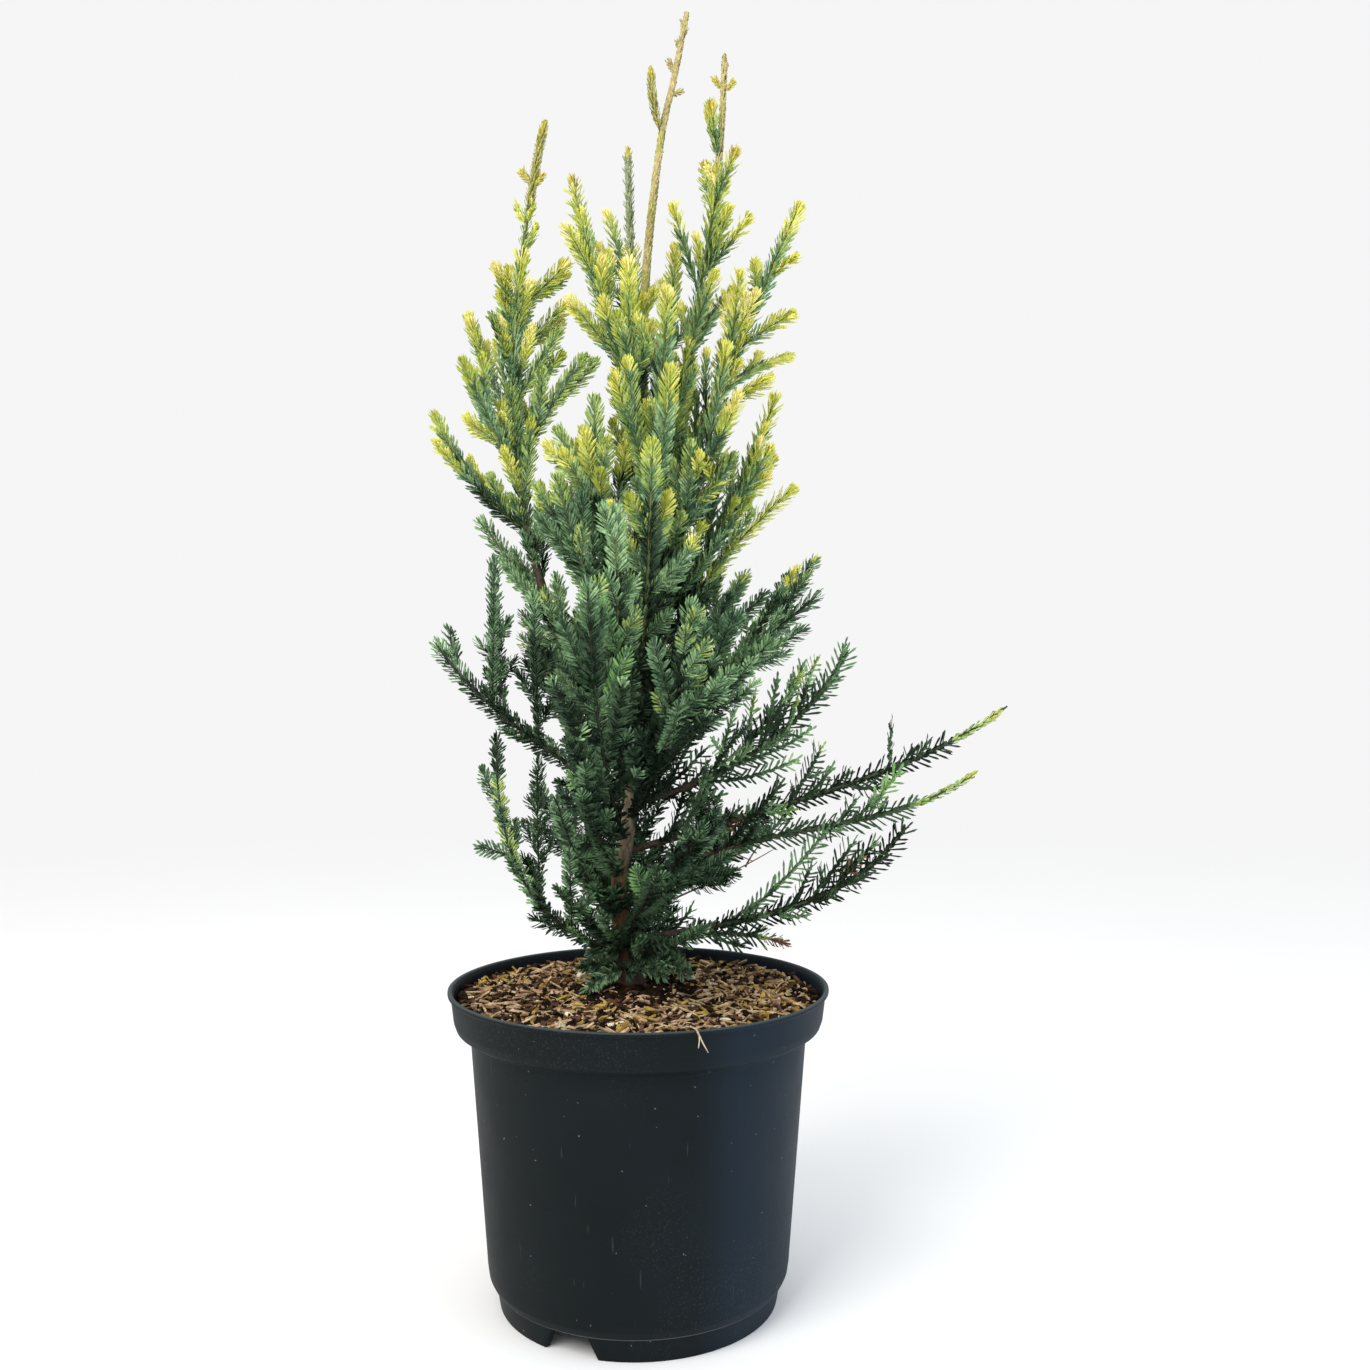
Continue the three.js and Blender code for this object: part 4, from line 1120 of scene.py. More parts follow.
def bark_recipe():
    """Bark along lines: round stems cut finely, with ridges that run along the trunk."""
    recipe = Recipe("bark", Sides="Int", Step="Float", Relief="Float", Grain="Float", Material="Material")
    links = {"Curve": recipe.curve(), "Length": recipe.given["Step"]}
    tube = recipe.tube(recipe.step("GeometryNodeResampleCurve", links, mode="LENGTH")[0])
    place = recipe.step("GeometryNodeInputPosition", {})[0]
    stretched = recipe.step("ShaderNodeVectorMath", {0: place, 1: (1.0, 1.0, 0.3)}, operation="MULTIPLY")[0]
    links = {"Vector": stretched, "Scale": recipe.given["Grain"], "Detail": 4.0, "Roughness": 0.62}
    ridges = recipe.maths("SUBTRACT", recipe.step("ShaderNodeTexNoise", links)[0], 0.5)
    depth = recipe.times(recipe.times(ridges, recipe.given["Relief"]), 2.0)
    normal = recipe.step("GeometryNodeInputNormal", {})[0]
    offset = recipe.step("ShaderNodeVectorMath", {0: normal, "Scale": depth}, operation="SCALE")[0]
    return recipe.finish(recipe.smooth(recipe.moved(tube, offset)))


def scatter_recipe():
    """Chips strewn over a surface, lying nearly flat on it."""
    numbers = {name: "Float" for name in ("Density", "Smallest", "Largest", "Tilt", "Sink")}
    recipe = Recipe("strewn chips", Chip="Object", **numbers, Seed="Int", Material="Material")
    given = recipe.given
    links = {"Mesh": given["Geometry"], "Density": given["Density"], "Seed": given["Seed"]}
    points = recipe.step("GeometryNodeDistributePointsOnFaces", links)[0]
    flat = recipe.step("FunctionNodeAxisAngleToRotation", {"Angle": recipe.chance(0.0, 2 * math.pi, 1)})[0]
    rotation = recipe.turned(flat, (0, 1, 0), recipe.times(recipe.chance(-1.0, 1.0, 2), given["Tilt"]))
    rotation = recipe.turned(rotation, (1, 0, 0), recipe.chance(-0.7, 0.7, 3))
    size = recipe.chance(given["Smallest"], given["Largest"], 4)
    slim = recipe.times(size, recipe.chance(0.65, 1.2, 5))
    strewn = recipe.repeated(given["Chip"], points, rotation, recipe.vector(size, slim, slim))
    lift = recipe.vector(0.0, 0.0, recipe.times(given["Sink"], recipe.chance(-0.6, 1.0, 6)))
    links = {"Instances": strewn, "Translation": lift, "Local Space": False}
    return recipe.finish(recipe.step("GeometryNodeTranslateInstances", links)[0])


# Materials
class Finish(Nodes):
    """A surface finish of shader nodes on the object's own coordinates."""

    def __init__(self, name, roughness, specular=0.5):
        self.material = bpy.data.materials.new(name)
        self.material.use_nodes = True
        super().__init__(self.material.node_tree)
        self.shader = self.tree.nodes["Principled BSDF"]
        self.shader.inputs["Roughness"].default_value = roughness
        self.shader.inputs["Specular IOR Level"].default_value = specular
        self.place = self.tree.nodes.new("ShaderNodeTexCoord").outputs["Object"]

    def stretched(self, x, y, z):
        """The object's coordinates, scaled along each axis."""
        return self.step("ShaderNodeMapping", {"Vector": self.place, "Scale": (x, y, z)})[0]

    def speckle(self, scale, detail=3.0, roughness=0.6, place=None):
        links = {"Vector": place or self.place, "Scale": scale, "Detail": detail, "Roughness": roughness}
        return self.step("ShaderNodeTexNoise", links)["Fac"]

    def along(self, axis):
        """How far along an axis a place is, in metres."""
        return self.step("ShaderNodeSeparateXYZ", {"Vector": self.place})[axis]

    def between(self, value, low, high, to_low=0.0, to_high=1.0):
        links = {"Value": value, 1: low, 2: high, 3: to_low, 4: to_high}
        return self.step("ShaderNodeMapRange", links)[0]

    def ramp(self, value, *stops):
        """Colours by value. Each stop is a place from 0 to 1 and a colour."""
        node = self.tree.nodes.new("ShaderNodeValToRGB")
        self.tree.links.new(value, node.inputs["Fac"])
        elements = node.color_ramp.elements
        while len(elements) < len(stops):
            elements.new(1.0)
        for element, (place, colour) in zip(elements, stops):
            element.position = place
            element.color = (*colour, 1)
        return node.outputs["Color"]

    def mix(self, share, first, second, blend="MIX"):
        def full(value):
            return value if isinstance(value, bpy.types.NodeSocket) else (*value, 1)

        links = {0: share, 6: full(first), 7: full(second)}
        return self.step("ShaderNodeMix", links, data_type="RGBA", blend_type=blend)[2]

    def feed(self, name, socket):
        """Gives a socket's output to the shader, by the name of its input."""
        self.tree.links.new(socket, self.shader.inputs[name])
        return self

    def colour(self, socket):
        return self.feed("Base Color", socket)

    def rough(self, socket):
        return self.feed("Roughness", socket)

    def bump(self, height, strength, distance):
        links = {"Height": height, "Strength": strength, "Distance": distance}
        return self.feed("Normal", self.step("ShaderNodeBump", links)["Normal"])


def needle_finish(name, dark, light):
    """Waxy needles: two near shades that drift from spray to spray, with a paler grain along them."""
    finish = Finish(name, 0.5, 0.11)
    drift = finish.speckle(60, 2.0)
    grain = finish.speckle(420, 1.0)
    tone = finish.ramp(drift, (0.34, dark), (0.66, light))
    finish.colour(finish.mix(0.5, tone, finish.ramp(grain, (0.42, dark), (0.58, light))))
    return finish.rough(finish.between(grain, 0.3, 0.7, 0.34, 0.52)).material


# The bark's colours, by share of the height from the mix to the tree's top. The near-black first two are
# painted shade at the trunk's foot.
TRUNK_COLOURS = (
    (0.0, (0.030, 0.018, 0.010)),
    (0.05, (0.060, 0.032, 0.016)),
    (0.09, (0.150, 0.078, 0.036)),
    (0.13, (0.210, 0.150, 0.090)),
    (0.17, (0.270, 0.225, 0.155)),
    (0.30, (0.090, 0.075, 0.040)),
    (0.62, (0.100, 0.110, 0.040)),
    (0.74, (0.300, 0.260, 0.105)),
    (0.90, (0.430, 0.330, 0.170)),
    (1.0, (0.500, 0.400, 0.180)),
)


def bark_finish():
    """Bark by height: painted shade right at the mix, reddish at the foot, greyish tan above, dark in the
    crown, and a golden tan leader.
    """
    finish = Finish("trunk_bark", 0.85, 0.25)
    tone = finish.ramp(finish.between(finish.along("Z"), 0.176, 0.749), *TRUNK_COLOURS)
    fissures = finish.speckle(330, 5.0, 0.7, finish.stretched(1, 1, 0.5))
    flakes = finish.ramp(fissures, (0.36, (0.30, 0.28, 0.26)), (0.52, (1, 1, 1)), (0.72, (1.5, 1.4, 1.3)))
    finish.colour(finish.mix(0.85, tone, flakes, "MULTIPLY"))
    return finish.bump(fissures, 0.6, 0.0008).material


def wood_finish(name, dark, light):
    """Bark of a limb or twig: two shades in fine streaks and pale flecks."""
    finish = Finish(name, 0.75, 0.3)
    streaks = finish.speckle(420, 4.0, 0.7)
    finish.colour(finish.ramp(streaks, (0.35, dark), (0.62, light)))
    return finish.bump(streaks, 0.4, 0.0004).material


def pot_finish():
    """Dark slate plastic: a cloudy sheen, dust, scratches and specks, a painted sky reflection on its right
    side, and pale lines of wear and painted highlight on the lip and foot step.
    """
    finish = Finish("slate_plastic", 0.5, 0.085)
    clouds = finish.speckle(14, 4.0, 0.6)
    tone = finish.ramp(clouds, (0.3, (0.0038, 0.0062, 0.0070)), (0.7, (0.0062, 0.0100, 0.0115)))
    # Painted reflection: the pot's right side is tinted blue for the sky reflected in it.
    painted_sky_reflection = finish.between(finish.along("X"), 0.032, 0.056, 0.0, 0.75)
    tone = finish.mix(painted_sky_reflection, tone, (0.0105, 0.0195, 0.0310))
    patches = finish.between(finish.speckle(11, 1.0), 0.5, 0.64)
    dust = finish.between(finish.speckle(900, 2.0, 0.7), 0.56, 0.72, 0.0, 0.35)
    tone = finish.mix(finish.times(patches, dust), tone, (0.060, 0.066, 0.066))
    scratches = finish.speckle(620, 0.0, 0.5, finish.stretched(1, 1, 0.05))
    tone = finish.mix(finish.between(scratches, 0.83, 0.88, 0.0, 0.4), tone, (0.050, 0.060, 0.060))
    specks = finish.speckle(520, 0.0)
    tone = finish.mix(finish.between(specks, 0.86, 0.88, 0.0, 0.8), tone, (0.16, 0.17, 0.16))
    height = finish.along("Z")
    # A pale line round the lip's top: partly wear and dust, partly painted highlight.
    tone = finish.mix(finish.between(height, 0.1790, 0.1799, 0.0, 0.75), tone, (0.060, 0.075, 0.080))
    # A pale line on the foot step: partly dust, partly painted highlight.
    step = finish.times(finish.between(height, 0.0126, 0.0130), finish.between(height, 0.0140, 0.0134))
    finish.colour(finish.mix(step, tone, (0.085, 0.100, 0.104)))
    finish.rough(finish.between(clouds, 0.3, 0.7, 0.48, 0.62))
    return finish.bump(finish.speckle(120, 3.0), 0.12, 0.0004).material


def soil_finish():
    """Moist potting mix between the chips."""
    finish = Finish("moist_mix", 0.95, 0.05)
    crumbs = finish.speckle(260, 6.0, 0.7)
    stops = (0.35, (0.005, 0.003, 0.0015)), (0.6, (0.022, 0.012, 0.006)), (0.8, (0.090, 0.054, 0.026))
    finish.colour(finish.ramp(crumbs, *stops))
    return finish.bump(crumbs, 1.0, 0.002).material


def chip_finish(name, dark, light):
    """Wood in the mix: a shade for each piece, with darker fibres."""
    finish = Finish(name, 0.8, 0.08)
    pieces = finish.speckle(160, 1.0)
    fibres = finish.speckle(900, 3.0, 0.7)
    tone = finish.ramp(pieces, (0.35, dark), (0.65, light))
    shade = finish.ramp(fibres, (0.3, (0.45, 0.42, 0.40)), (0.6, (1.0, 1.0, 1.0)))
    finish.colour(finish.mix(0.8, tone, shade, "MULTIPLY"))
    return finish.bump(fibres, 0.5, 0.0004).material


# Moulds: small closed shapes that the recipes repeat
def closed_mesh(name, corners, faces, merged_within=0):
    """A mesh with its faces turned outwards, and with corners merged that lie close together."""
    mesh = bpy.data.meshes.new(name)
    mesh.from_pydata([Vector(corner) for corner in corners], [], faces)
    work = bmesh.new()
    work.from_mesh(mesh)
    if merged_within:
        bmesh.ops.remove_doubles(work, verts=work.verts, dist=merged_within)
    bmesh.ops.recalc_face_normals(work, faces=work.faces)
    work.to_mesh(mesh)
    work.free()
    return mesh


def walls(rings, sides):
    """Faces between rings that have as many corners as sides."""
    faces = []
    for ring in range(0, (rings - 1) * sides, sides):
        for i in range(sides):
            k = (i + 1) % sides
            faces.append((ring + i, ring + k, ring + k + sides, ring + i + sides))
    return faces


def needle_mould(name, stations, tip_bend):
    """A pointed needle, a unit long and a unit wide, with a keel below and a slight forward bend.

    A station is (share of the length, half width, bend).
    """
    corners = []
    for share, half, bend in stations:
        corners += [(-half, bend, share), (half, bend, share), (0, bend - 0.6 * half, share)]
    last = len(corners) - 3
    corners.append((0, tip_bend, 1))
    faces = [(0, 1, 2), *walls(len(stations), 3)]
    faces += [(last, last + 1, last + 3), (last + 1, last + 2, last + 3), (last + 2, last, last + 3)]
    return add_object(name, closed_mesh(name, corners, faces))


def chip_mould(name, length, width, thickness, bend):
    """A split chip along X: a bent prism with slanting ends."""
    corners = []
    for share, half, lift in ((-0.5, 0.7, 0.0), (-0.1, 1.0, bend), (0.5, 0.5, -bend)):
        x = share * length
        corners += [
            (x, -half * width / 2, lift - thickness / 2),
            (x + width * 0.3, half * width / 2, lift - thickness / 2),
            (x + width * 0.3, half * width / 2, lift + thickness / 2),
            (x, -half * width / 2, lift + thickness / 2),
        ]
    return add_object(name, closed_mesh(name, corners, [(0, 1, 2, 3), (8, 9, 10, 11), *walls(3, 4)]))


# Pieces
def keep(piece, slot, *nodes):
    """Enters a finished piece: its body, and the solids it stands for. Its finish's slot is not used."""
    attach(piece, "root")
    if nodes:
        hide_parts(*nodes)


def nodes_of(prefix, names):
    return [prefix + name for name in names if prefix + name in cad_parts]


# Needles: what a mark says of them, how far apart they stand, and how much they stray
NEEDLE_FIELDS = ("heading", "across", "needle", "width", "lean", "spread", "roll", "girth")
BRUSH_SPACING = 0.9
DENSE_SPACING = 0.3
SPACINGS = {"clubs": 0.22, "bursts": 0.4, "comb": 1.9, "long": 0.6, "fans": 0.82}
STRAY = 0.11
COMB_STRAY = 0.24

# The coat under the fans: its share of their length and lean, and its colour under each of theirs, a notch
# darker as painted shade between the needles
UNDER_LENGTH = 0.78
UNDER_LEAN = 0.6
UNDER_SHADE_COLOURS = {
    "deep": "shade",
    "green": "deep",
    "blue": "green",
    "leaf": "green",
    "bright": "green",
    "lime": "leaf",
    "gold": "lime",
    "cream": "gold",
}

# Long boughs: needles over this length are a comb, with short needles close over the stem
COMB_FROM = 6.2
COVER = 3.2
COVER_LEAN = 17

# Scale leaves on the leader
SCALES_FROM = 0.70
SCALES_RUN = 0.296
SCALE_MARKS = 48
SCALE_GROUP = 4
SCALE_LENGTH = 3.6
SCALE_LEAN = 11
OLIVE_BELOW = 705

# Bursts of needles at the tips higher up
BURSTS_FROM = 440
BURST_LENGTH = 2.6
BURST_NEEDLE = 7.6
BURST_LEANS = (28, 18, 8)


def dress_needles(shoots):
    """The needles, a piece for each region and colour."""
    lines = defaultdict(lambda: Lines(NEEDLE_FIELDS))
    for shoot in shoots:
        lay_shoot(lines, shoot)
    lay_leader_scales(lines)
    recipe = needle_recipe()
    blade = needle_mould("needle_blade", ((0, 0.3, 0), (0.78, 0.5, 0.12)), 0.5)
    finishes = {name: needle_finish("needles_" + name, *shades) for name, shades in NEEDLE_COLOURS.items()}
    for seed, (region, colour) in enumerate(sorted(lines)):
        name = f"needles_{region}_{colour}"
        spacing = SPACINGS.get(region) or (DENSE_SPACING if colour in DENSE else BRUSH_SPACING)
        stray = COMB_STRAY if region == "comb" else STRAY
        sizes = {"Needle": blade, "Spacing": spacing * MM, "Stray": stray, "Seed": seed}
        source = lines[region, colour].as_object(name + "_lines")
        piece = recipe.make(name, source, Material=finishes[colour], **sizes)
        foliage = nodes_of("foliage_", [limb.name for limb in LIMBS if region_of(limb.name) == region])
        keep(piece, GOLD_SLOT if colour in GOLDEN else GREEN_SLOT, *foliage)
    bpy.data.objects.remove(blade)


def lay_shoot(lines, shoot):
    """Adds a shoot's needles, in a run of marks for each colour, and a burst at its tip if it is high up."""
    draw = seeded(shoot.seed)
    luck = [draw() for _ in range(4)]
    region = "clubs" if shoot.club else shoot.region
    last_colour = None
    rows = []
    for to_tip, point, values in brush_marks(shoot, luck[3]):
        colour = colour_of(shoot, to_tip, point, luck)
        if last_colour and colour != last_colour:
            rows.append((point, values))
            lay_needles(lines, region, last_colour, rows)
            rows = []
        rows.append((point, values))
        last_colour = colour
    if len(rows) > 1:
        lay_needles(lines, region, last_colour, rows)
    point, values = rows[-1]
    if point.z > BURSTS_FROM and shoot.rank < 3 and shoot.limb not in SLIM_ENDS:
        foot = point - values["heading"] * BURST_LENGTH
        for lean in BURST_LEANS:
            size = min(BURST_NEEDLE, room_for(point, values["heading"], lean))
            burst = dict(values, needle=size * MM, lean=math.radians(lean), spread=math.radians(90))
            lines["bursts", last_colour].add([(foot, burst), (point, burst)])


def lay_needles(lines, region, colour, rows):
    """Adds a run of needles: two pale ranks over a shorter coat all round the stem, a notch darker as painted
    shade between them.

    A long bough has a sparse comb, and short needles close over its stem.
    """
    if max(values["needle"] for _, values in rows) > COMB_FROM * MM:
        far = region == "long"
        lines["comb" if far else "fans", colour].add(rows)
        under = []
        for point, values in rows:
            coat = {"needle": values["needle"] * UNDER_LENGTH, "lean": values["lean"] * UNDER_LEAN}
            if far:
                coat = {"needle": COVER * MM, "lean": math.radians(COVER_LEAN)}
            under.append((point, dict(values, spread=math.radians(90), **coat)))
        rows = under
        # Painted shade: the coat under the fans takes a darker colour.
        colour = colour if far else UNDER_SHADE_COLOURS.get(colour, colour)
    lines[region, colour].add(rows)


def lay_leader_scales(lines):
    """Adds the scale leaves that lie close to the bare leader, olive and tan by turns."""
    rows = []
    for i in range(SCALE_MARKS + 1):
        point, heading, _ = trunk.at(trunk.length * (SCALES_FROM + SCALES_RUN * i / SCALE_MARKS))
        girth = (0.85 if i < SCALE_MARKS else 0.3) * trunk_radius(point.z)
        size = min(SCALE_LENGTH, room_for(point, heading, SCALE_LEAN))
        rows.append((point, needle_values(heading, trunk.side, size, SCALE_LEAN, 90, 1.4, girth, 0.5)))
        if i and i % SCALE_GROUP == 0:
            colour = "olive" if i // SCALE_GROUP % 3 == 1 and point.z < OLIVE_BELOW else "tan"
            lines["clubs", colour].add(rows)
            rows = rows[-1:]


# Stems and bark
TWIG_SLIMMING = 0.74
TWIG_SIDES = 5
TWIG_STEP = 7
YOUNG_FROM = 430
TRUNK_CUTS = 140
TRUNK_BARK = {"Sides": 30, "Step": 1.1 * MM, "Relief": 0.55 * MM, "Grain": 260.0}
BOUGH_BARK = {"Sides": 14, "Step": 1.0 * MM, "Relief": 0.28 * MM, "Grain": 500.0}
BOUGH_OVERLAP = 3


def stem_row(point, radius):
    return point, {"girth": radius * MM}


def twig_rows(shoot):
    """A shoot's own stem, as rows, and how far along it ends. A main limb starts where its bough ends."""
    count = max(3, round(shoot.path.length / TWIG_STEP))
    end = max(2, tip_in_box(shoot.path, 3 if shoot.limb in SLIM_ENDS else TYPICAL_NEEDLE))
    begin = shoot.start - 1 if shoot.rank == 0 and shoot.start > NAKED_START else 0
    rows = []
    for i in range(count + 1):
        distance = begin + (end - begin) * i / count
        taper = 1 - LIMB_TAPER * distance / shoot.path.length if shoot.rank == 0 else 1 - 0.5 * i / count
        taper *= TWIG_SLIMMING * (0.75 if i == count else 1)
        rows.append(stem_row(shoot.path.at(distance)[0], shoot.radius * taper))
    return rows, end


def dress_stems(shoots):
    """The twigs' own stems: brown where they are old or low, green where they are young."""
    recipe = stem_recipe()
    finishes = {
        "old": wood_finish("old_twig_bark", (0.010, 0.015, 0.007), (0.030, 0.036, 0.018)),
        "young": wood_finish("young_twig_bark", (0.060, 0.085, 0.025), (0.150, 0.170, 0.055)),
        "green": wood_finish("green_twig_bark", (0.022, 0.034, 0.014), (0.060, 0.078, 0.032)),
        "dead": wood_finish("dead_twig_bark", (0.060, 0.034, 0.024), (0.170, 0.110, 0.080)),
    }
    lines = defaultdict(lambda: Lines(["girth"]))
    for marks in BARE_TWIGS:
        points = bent_path(*[Vector(mark) for mark in marks]).points
        lines["bare", "dead"].add([stem_row(point, 0.65 - 0.025 * i) for i, point in enumerate(points)])
    for shoot in shoots:
        rows, end = twig_rows(shoot)
        age = "green" if shoot.rank > 1 or shoot.region == "long" else "old"
        if shoot.path.at(end)[0].z > YOUNG_FROM:
            age = "young"
        lines[shoot.region, age].add(rows)
    for region, age in sorted(lines):
        name = f"twigs_{region}_{age}"
        source = lines[region, age].as_object(name + "_lines")
        keep(recipe.make(name, source, Sides=TWIG_SIDES, Material=finishes[age]), "bough_bark")


def dress_bark(boughs):
    """Trunk and boughs, with the bark's relief."""
    recipe = bark_recipe()
    line = Lines(["girth"])
    points = [trunk.at((trunk.length - 0.8) * i / TRUNK_CUTS)[0] for i in range(TRUNK_CUTS + 1)]
    line.add([stem_row(point, trunk_radius(point.z)) for point in points])
    piece = recipe.make("trunk_with_bark", line.as_object("trunk_line"), Material=bark_finish(), **TRUNK_BARK)
    keep(piece, "trunk_bark", "trunk")
    line = Lines(["girth"])
    for limb, path, bough_end in boughs:
        if not bough_end:
            continue
        places = [(bough_end + BOUGH_OVERLAP) * i / BOUGH_STEPS for i in range(BOUGH_STEPS + 1)]
        tapers = [1 - LIMB_TAPER * place / path.length for place in places]
        line.add([stem_row(path.at(place)[0], limb.girth * taper) for place, taper in zip(places, tapers)])
    finish = wood_finish("bough_bark", (0.022, 0.016, 0.010), (0.090, 0.066, 0.042))
    piece = recipe.make("boughs_with_bark", line.as_object("bough_lines"), Material=finish, **BOUGH_BARK)
    keep(piece, "bough_bark", *nodes_of("bough_", [limb.name for limb in LIMBS]))


def mix_surface(radius, angle):
    """The mix's height in millimetres at a distance from the pot's middle."""
    if radius <= MIX_FLAT_RADIUS:
        return MIX_EDGE + MIX_MOUND
    mound = MIX_MOUND * math.cos(math.pi / 2 * radius / COLLAR_RADIUS)
    heaped = WALL_HEAP * max(0, (radius - HEAP_FROM) / (MIX_REACH - HEAP_FROM)) ** 2
    ripple = math.sin(RIPPLE_WAVES * angle + radius / RIPPLE_TWIST) * math.sin(radius / RIPPLE_RUN)
    return MIX_EDGE + mound + heaped + MIX_RIPPLE * ripple


def mix_grid(name, reach, rings, sectors, relief, depth=None, inner=0):
    """The mix's surface as a round grid, closed below by a flat underside if it has a depth.

    Without one it may be a ring, that starts at an inner radius.
    """
    angles = [2 * math.pi * s / sectors for s in range(sectors)]
    corners = [Vector((0, 0, mix_surface(0, 0)))]
    for r in range(1, rings + 1):
        radius = reach * r / rings
        for angle in angles:
            x, y = radius * math.cos(angle), radius * math.sin(angle)
            coarse = noise.noise((x / CRUMB, y / CRUMB, 1))
            fine = noise.noise((x / FINE_CRUMB, y / FINE_CRUMB, 7))
            height = mix_surface(radius, angle + math.pi / 2) + relief * (coarse + 0.6 * fine)
            corners.append(Vector((x, y, height)))
    if depth:
        corners += [Vector((reach * math.cos(angle), reach * math.sin(angle), depth)) for angle in angles]
        corners.append(Vector((0, 0, depth)))
    open_rings = round(rings * inner / reach)
    faces = [] if open_rings else [(0, 1 + s, 1 + (s + 1) % sectors) for s in range(sectors)]
    for r in range(open_rings, rings if depth else rings - 1):
        ring = 1 + r * sectors
        for s in range(sectors):
            k = (s + 1) % sectors
            faces.append((ring + s, ring + sectors + s, ring + sectors + k, ring + k))
    if depth:
        last = 1 + rings * sectors
        faces += [(last + s, len(corners) - 1, last + (s + 1) % sectors) for s in range(sectors)]
    mesh = bpy.data.meshes.new(name)
    mesh.from_pydata([corner * MM for corner in corners], [], faces)
    return add_object(name, mesh)


# What is strewn over the mix: name, mould, how many if it covered the middle too, smallest and largest scale,
# tilt, from and to which radius, dark and light colour
CHIPS = (
    # Painted shade around the trunk's foot: near-black crumbs there, and the paler chips start farther out,
    # so the middle stays dark.
    ("foot_crumbs", "crumb", 460, 1.0, 2.3, 0.7, 0, 38, (0.004, 0.002, 0.001), (0.022, 0.011, 0.005)),
    ("dark_crumbs", "crumb", 1500, 0.7, 1.8, 0.7, 0, 103, (0.005, 0.0025, 0.001), (0.026, 0.013, 0.006)),
    ("brown_chips", "chip", 900, 0.7, 1.6, 0.6, 0, 101, (0.045, 0.022, 0.012), (0.150, 0.080, 0.042)),
    ("ochre_chips", "chip", 430, 0.6, 1.7, 0.6, 30, 101, (0.240, 0.145, 0.028), (0.520, 0.350, 0.085)),
    ("tan_chips", "chip", 150, 0.7, 1.9, 0.6, 22, 101, (0.300, 0.180, 0.095), (0.640, 0.450, 0.270)),
    ("tan_splinters", "splinter", 960, 0.7, 1.8, 0.5, 14, 100, (0.280, 0.165, 0.085), (0.680, 0.490, 0.300)),
    ("straws", "straw", 260, 0.6, 1.4, 0.3, 10, 92, (0.400, 0.280, 0.130), (0.720, 0.570, 0.320)),
    ("pale_chips", "crumb", 50, 1.0, 2.6, 0.4, 24, 99, (0.560, 0.480, 0.300), (0.860, 0.780, 0.580)),
)

# The moulds' length, width, thickness and bend
CHIP_SIZES = {
    "crumb": (2.8, 2.2, 1.6, 0.2),
    "chip": (7.5, 1.7, 0.9, 0.45),
    "splinter": (9, 1.0, 0.7, 0.5),
    "straw": (17, 0.8, 0.6, 0.8),
}
CHIP_SINK = 1.3


def dress_mix():
    """The mix's crumbly surface, and what is strewn over it."""
    soil = mix_grid("mix_bed", MIX_REACH, 60, 150, CRUMB_RELIEF, depth=MIX_EDGE - MIX_DEPTH)
    soil.data.materials.append(soil_finish())
    keep(soil, "potting_mix", "potting_mix")
    recipe = scatter_recipe()
    moulds = {}
    for name, sizes in CHIP_SIZES.items():
        moulds[name] = chip_mould(name + "_mould", *[size * MM for size in sizes])
    for seed, (name, mould, count, small, large, tilt, inner, reach, dark, light) in enumerate(CHIPS):
        bed = mix_grid(name + "_bed", reach, 20, 40, 0, inner=inner)
        density = count / (math.pi * (reach * MM) ** 2)
        piece = recipe.make(
            name, bed, Chip=moulds[mould], Density=density, Smallest=small, Largest=large, Tilt=tilt,
            Sink=CHIP_SINK * MM, Seed=seed, Material=chip_finish(name, dark, light),
        )
        keep(piece, "potting_mix")
    for mould in moulds.values():
        bpy.data.objects.remove(mould)
    lines = Lines(["girth"])
    for marks in LIP_STRAW:
        points = rounded_through(marks, 16).points
        lines.add([stem_row(point, 0.6 - 0.02 * i) for i, point in enumerate(points)])
    finish = chip_finish("lip_straw", (0.420, 0.330, 0.210), (0.640, 0.540, 0.380))
    source = lines.as_object("straw_line")
    keep(stem_recipe().make("straw_over_lip", source, Sides=TWIG_SIDES, Material=finish), "potting_mix")


def softened(outline, radius, steps=3):
    """An outline of (radius, height) points with its corners rounded."""
    points = [outline[0]]
    for before, corner, after in zip(outline, outline[1:], outline[2:]):
        back = (before[0] - corner[0], before[1] - corner[1])
        on = (after[0] - corner[0], after[1] - corner[1])
        reach = min(radius, math.hypot(*back) / SIDE_TO_CORNER, math.hypot(*on) / SIDE_TO_CORNER)
        a = [corner[k] + back[k] * reach / max(1e-6, math.hypot(*back)) for k in (0, 1)]
        c = [corner[k] + on[k] * reach / max(1e-6, math.hypot(*on)) for k in (0, 1)]
        for i in range(steps + 1):
            points.append(tuple(bend_at(a[k], corner[k], c[k], i / steps) for k in (0, 1)))
    points.append(outline[-1])
    return points


def foot_rise(bearing):
    """How far the foot ring is cut away at a bearing from the front, by its three notches."""
    apart = min(abs((bearing - notch + 540) % 360 - 180) for notch in NOTCH_BEARINGS)
    return (FOOT_HEIGHT - NOTCH_RELIEF) * share_between(apart, NOTCH_FOOT_ANGLE, NOTCH_TOP_ANGLE)


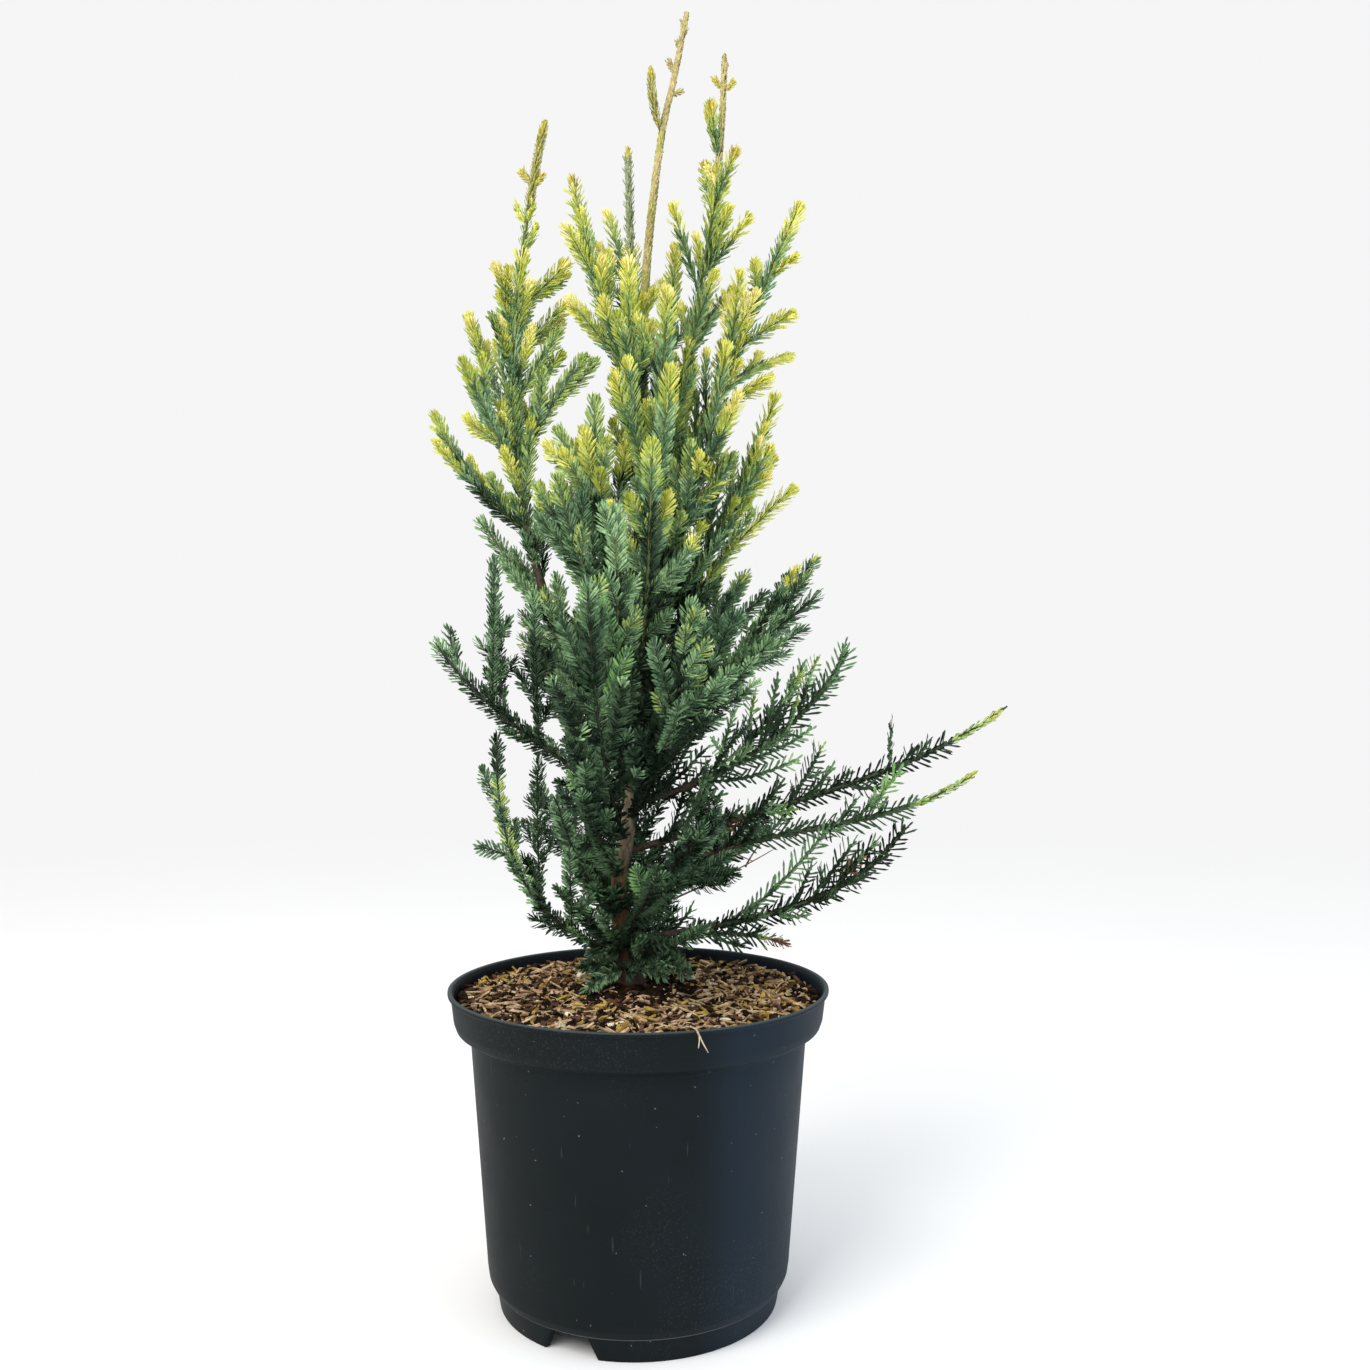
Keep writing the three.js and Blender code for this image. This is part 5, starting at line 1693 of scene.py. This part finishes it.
def pot_outline(bearing):
    """The pot's section at a bearing, from the middle of its underside to the middle of its floor."""
    rise = foot_rise(bearing)
    collar_foot = POT_HEIGHT - COLLAR_HEIGHT
    floor = FOOT_HEIGHT + BASE_THICKNESS
    return [
        (0, 0),
        (PAD_RADIUS, 0),
        (PAD_RADIUS + PAD_SLOPE, FOOT_HEIGHT),
        (FOOT_RADIUS - FOOT_WIDTH - FOOT_SLOPE, FOOT_HEIGHT),
        (FOOT_RADIUS - FOOT_WIDTH, rise),
        (FOOT_RADIUS + FOOT_FLARE * rise / FOOT_HEIGHT, rise),
        (FOOT_RADIUS + FOOT_FLARE, FOOT_HEIGHT),
        (FOOT_RADIUS + FOOT_FLARE + STEP_WIDTH, FOOT_HEIGHT + STEP_HEIGHT),
        (BODY_LOW_RADIUS - BODY_TUCK, FOOT_HEIGHT + BODY_ROUNDING / 2),
        (BODY_LOW_RADIUS, FOOT_HEIGHT + BODY_ROUNDING),
        (BODY_TOP_RADIUS, collar_foot),
        (COLLAR_RADIUS - COLLAR_TAPER - COLLAR_NECK, collar_foot + COLLAR_RISE / 2),
        (COLLAR_RADIUS - COLLAR_TAPER, collar_foot + COLLAR_RISE),
        (COLLAR_RADIUS, POT_HEIGHT - LIP_DEPTH - LIP_ROLL),
        (RIM_RADIUS, POT_HEIGHT - LIP_DEPTH),
        (RIM_RADIUS, POT_HEIGHT),
        (RIM_RADIUS - LIP_WIDTH, POT_HEIGHT),
        (COLLAR_RADIUS - WALL, POT_HEIGHT - LIP_DEPTH),
        (COLLAR_RADIUS - COLLAR_TAPER - WALL, collar_foot + COLLAR_RISE),
        (BODY_TOP_RADIUS - WALL, collar_foot),
        (BODY_LOW_RADIUS - WALL, FOOT_HEIGHT + BODY_ROUNDING),
        (BODY_LOW_RADIUS - WALL - FLOOR_ROUNDING, floor),
        (0, floor),
    ]


def dress_pot():
    """The turned pot with its rolled lip, collar, foot ring and three drain notches."""
    bearings = [360 * i / POT_SECTIONS for i in range(POT_SECTIONS)]
    for notch in NOTCH_BEARINGS:
        for angle in (NOTCH_TOP_ANGLE, NOTCH_FOOT_ANGLE):
            bearings += [(notch - angle) % 360, (notch + angle) % 360]
    bearings.sort()
    corners, faces = [], []
    for bearing in bearings:
        angle = math.radians(bearing - 90)
        outline = softened(pot_outline(bearing), POT_ROUNDING)
        corners += [Vector((r * math.cos(angle), r * math.sin(angle), z)) * MM for r, z in outline]
    width = len(outline)
    for s in range(len(bearings)):
        here, there = s * width, (s + 1) % len(bearings) * width
        faces += [(here + i, there + i, there + i + 1, here + i + 1) for i in range(width - 1)]
    mesh = closed_mesh("nursery_pot", corners, faces, 1e-6)
    mesh.polygons.foreach_set("use_smooth", [True] * len(mesh.polygons))
    mesh.materials.append(pot_finish())
    keep(add_object("nursery_pot", mesh), "pot_plastic", "pot")


# Studio, in metres
FLOOR_HALF = 20
WALL_LIGHT = 0.92
LIGHT_AIM = (0, 0, 0.38)
SENSOR = 36
FOCAL_PIXELS = 1312
FRAME_PIXELS = 1370
CAMERA_PLACE = (0.0268, -0.765, 0.354)

# Name, place, size, watts and tint
LIGHTS = (
    ("window_light", (-0.9, -1.3, 1.7), 1.2, 34, (1.0, 0.98, 0.94)),
    ("sky_light", (1.7, -0.9, 0.7), 2.0, 18, (0.52, 0.74, 1.0)),
)


def build_floor():
    """A pale floor that turns into the room's own white farther out."""
    mesh = bpy.data.meshes.new("studio_floor")
    corners = [(x * FLOOR_HALF, y * FLOOR_HALF, 0) for x, y in ((-1, -1), (1, -1), (1, 1), (-1, 1))]
    mesh.from_pydata(corners, [], [(0, 1, 2, 3)])
    floor = add_object("studio_floor", mesh)
    paper = Finish("floor_paper", 0.9, 0.1)
    paper.colour(paper.ramp(paper.speckle(3, 2.0), (0.3, (0.91, 0.91, 0.91)), (0.7, (0.93, 0.93, 0.93))))
    away = paper.step("ShaderNodeVectorMath", {0: paper.place}, operation="LENGTH")["Value"]
    glow = paper.step("ShaderNodeEmission", {"Strength": WALL_LIGHT})[0]
    links = {0: paper.between(away, 0.5, 3.0), 1: paper.shader.outputs[0], 2: glow}
    seamless = paper.step("ShaderNodeMixShader", links)[0]
    paper.tree.links.new(seamless, paper.tree.nodes["Material Output"].inputs["Surface"])
    floor.data.materials.append(paper.material)


def build_room(scene):
    """A white room with two broad lights."""
    world = bpy.data.worlds.new("white_room")
    world.use_nodes = True
    background = world.node_tree.nodes["Background"].inputs
    background["Color"].default_value = (1, 1, 1, 1)
    background["Strength"].default_value = WALL_LIGHT
    scene.world = world
    scene.view_settings.view_transform = "Standard"
    for name, place, size, watts, tint in LIGHTS:
        lamp = bpy.data.lights.new(name, "AREA")
        lamp.size = size
        lamp.energy = watts
        lamp.color = tint
        stand = add_object(name, lamp)
        stand.location = place
        stand.rotation_euler = (Vector(LIGHT_AIM) - Vector(place)).to_track_quat("-Z", "Y").to_euler()


def place_camera(scene):
    """The camera at the photograph's view: level, in front of the pot."""
    lens = bpy.data.cameras.new("portrait_camera")
    lens.sensor_width = SENSOR
    lens.lens = SENSOR * FOCAL_PIXELS / FRAME_PIXELS
    lens.clip_end = 100
    camera = add_object("portrait_camera", lens)
    camera.location = CAMERA_PLACE
    camera.rotation_euler = (math.radians(90), 0, 0)
    scene.camera = camera


build_floor()
build_room(bpy.context.scene)
place_camera(bpy.context.scene)
shoots, boughs = grow()
dress_pot()
dress_mix()
dress_bark(boughs)
dress_stems(shoots)
dress_needles(shoots)
